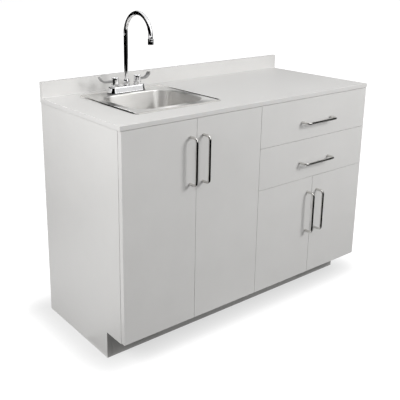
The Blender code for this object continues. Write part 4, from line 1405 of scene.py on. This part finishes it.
def make_cards():
    """Cards round the set, seen only in mirrors, so that bright metal shows its edges."""
    choose()
    bpy.ops.mesh.primitive_cylinder_add(
        vertices=CARD_SIDES, radius=CARD_RADIUS, depth=CARD_TOP - CARD_FOOT, end_fill_type="NOTHING",
        location=(0.0, 0.0, (CARD_FOOT + CARD_TOP) / 2))
    cards = named("dark_cards")
    edit(cards)
    pick("EDGE", lambda edge: middle(edge).z < 2 * CARD_FOOT and middle(edge).y < 0.0)
    bpy.ops.mesh.extrude_region_move()
    shrink(CARD_LIP / CARD_RADIUS, (0.0, 0.0, CARD_FOOT))
    for foot, head, test in CARDS_ABOVE:
        pick("EDGE", lambda edge: at_height(edge, CARD_TOP) and test(middle(edge)))
        bpy.ops.mesh.duplicate_move(TRANSFORM_OT_translate={"value": (0.0, 0.0, foot - CARD_TOP)})
        extrude(0.0, 0.0, head - foot)
    leave()
    for name, glow in CARD_FINISHES:
        finish = new_finish(name, Base_Color=BLACK, Roughness=1.0, Specular_IOR_Level=0.0,
                            Emission_Color=WHITE, Emission_Strength=glow)[0]
        cards.data.materials.append(finish)
    # Cards that glow are painted reflections for the metal
    for face in cards.data.polygons:
        if face.center.z < CARD_TOP and face.center.x > DIM_GLOW_CARD_FROM:
            face.material_index = 1
        elif face.center.z > CARD_TOP and on_bright_glow_card(face.center):
            face.material_index = 2
    for rays in ("camera", "diffuse", "transmission", "volume_scatter", "shadow"):
        setattr(cards, "visible_" + rays, False)


def set_up(data, place, direction):
    """Lamp or camera at a place, looking along a direction."""
    item = bpy.data.objects.new(data.name, data)
    bpy.context.scene.collection.objects.link(item)
    item.location = place
    item.rotation_euler = direction.to_track_quat("-Z", "Y").to_euler()
    return item


def make_lamp(name, place, target, size, power, for_sheen):
    """Softbox for the general light, or for the sheen on metal only."""
    data = bpy.data.lights.new(name, "AREA")
    data.shape = "DISK"
    data.size = size
    data.energy = power
    lamp = set_up(data, place, Vector(target) - Vector(place))
    lamp.visible_glossy = for_sheen
    lamp.visible_diffuse = not for_sheen


def make_camera():
    data = bpy.data.cameras.new("camera")
    data.sensor_width = SENSOR
    data.lens = FOCAL_PIXELS * SENSOR / IMAGE_SIZE
    data.shift_x = 0.5 - CENTRE_PIXEL[0] / IMAGE_SIZE
    data.shift_y = CENTRE_PIXEL[1] / IMAGE_SIZE - 0.5
    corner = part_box("countertop")[0]
    forward = Vector((
        math.sin(CAMERA_YAW) * math.cos(CAMERA_PITCH),
        math.cos(CAMERA_YAW) * math.cos(CAMERA_PITCH),
        math.sin(CAMERA_PITCH)))
    place = Vector((corner.x, corner.y, 0.0)) + CAMERA_FROM_CORNER
    bpy.context.scene.camera = set_up(data, place, forward)


def main():
    make_plain_boards()
    make_side("left_side_panel")
    make_side("right_side_panel")
    make_partition()
    make_countertop()
    make_sealant()
    make_sink()
    make_strainer()
    make_drain_pipe()
    make_faucet_base()
    for side, hand in (("hot", -1), ("cold", 1)):
        make_bonnet(side)
        make_shank_nut(side)
        make_handle(side + "_handle", hand)
    make_collar()
    make_spout()
    make_aerator()
    make_valve_body()
    for body in DOORS + DRAWERS:
        make_pull(body + "_pull", body)
    screw = make_screw_model()
    make_doors(screw)
    make_drawer_screws(screw)
    bpy.data.objects.remove(screw, do_unlink=True)
    make_drawers()

    make_world()
    make_floor()
    make_cards()
    for settings in LAMPS:
        make_lamp(*settings)
    make_camera()
    bpy.context.scene.view_settings.view_transform = "Standard"


main()
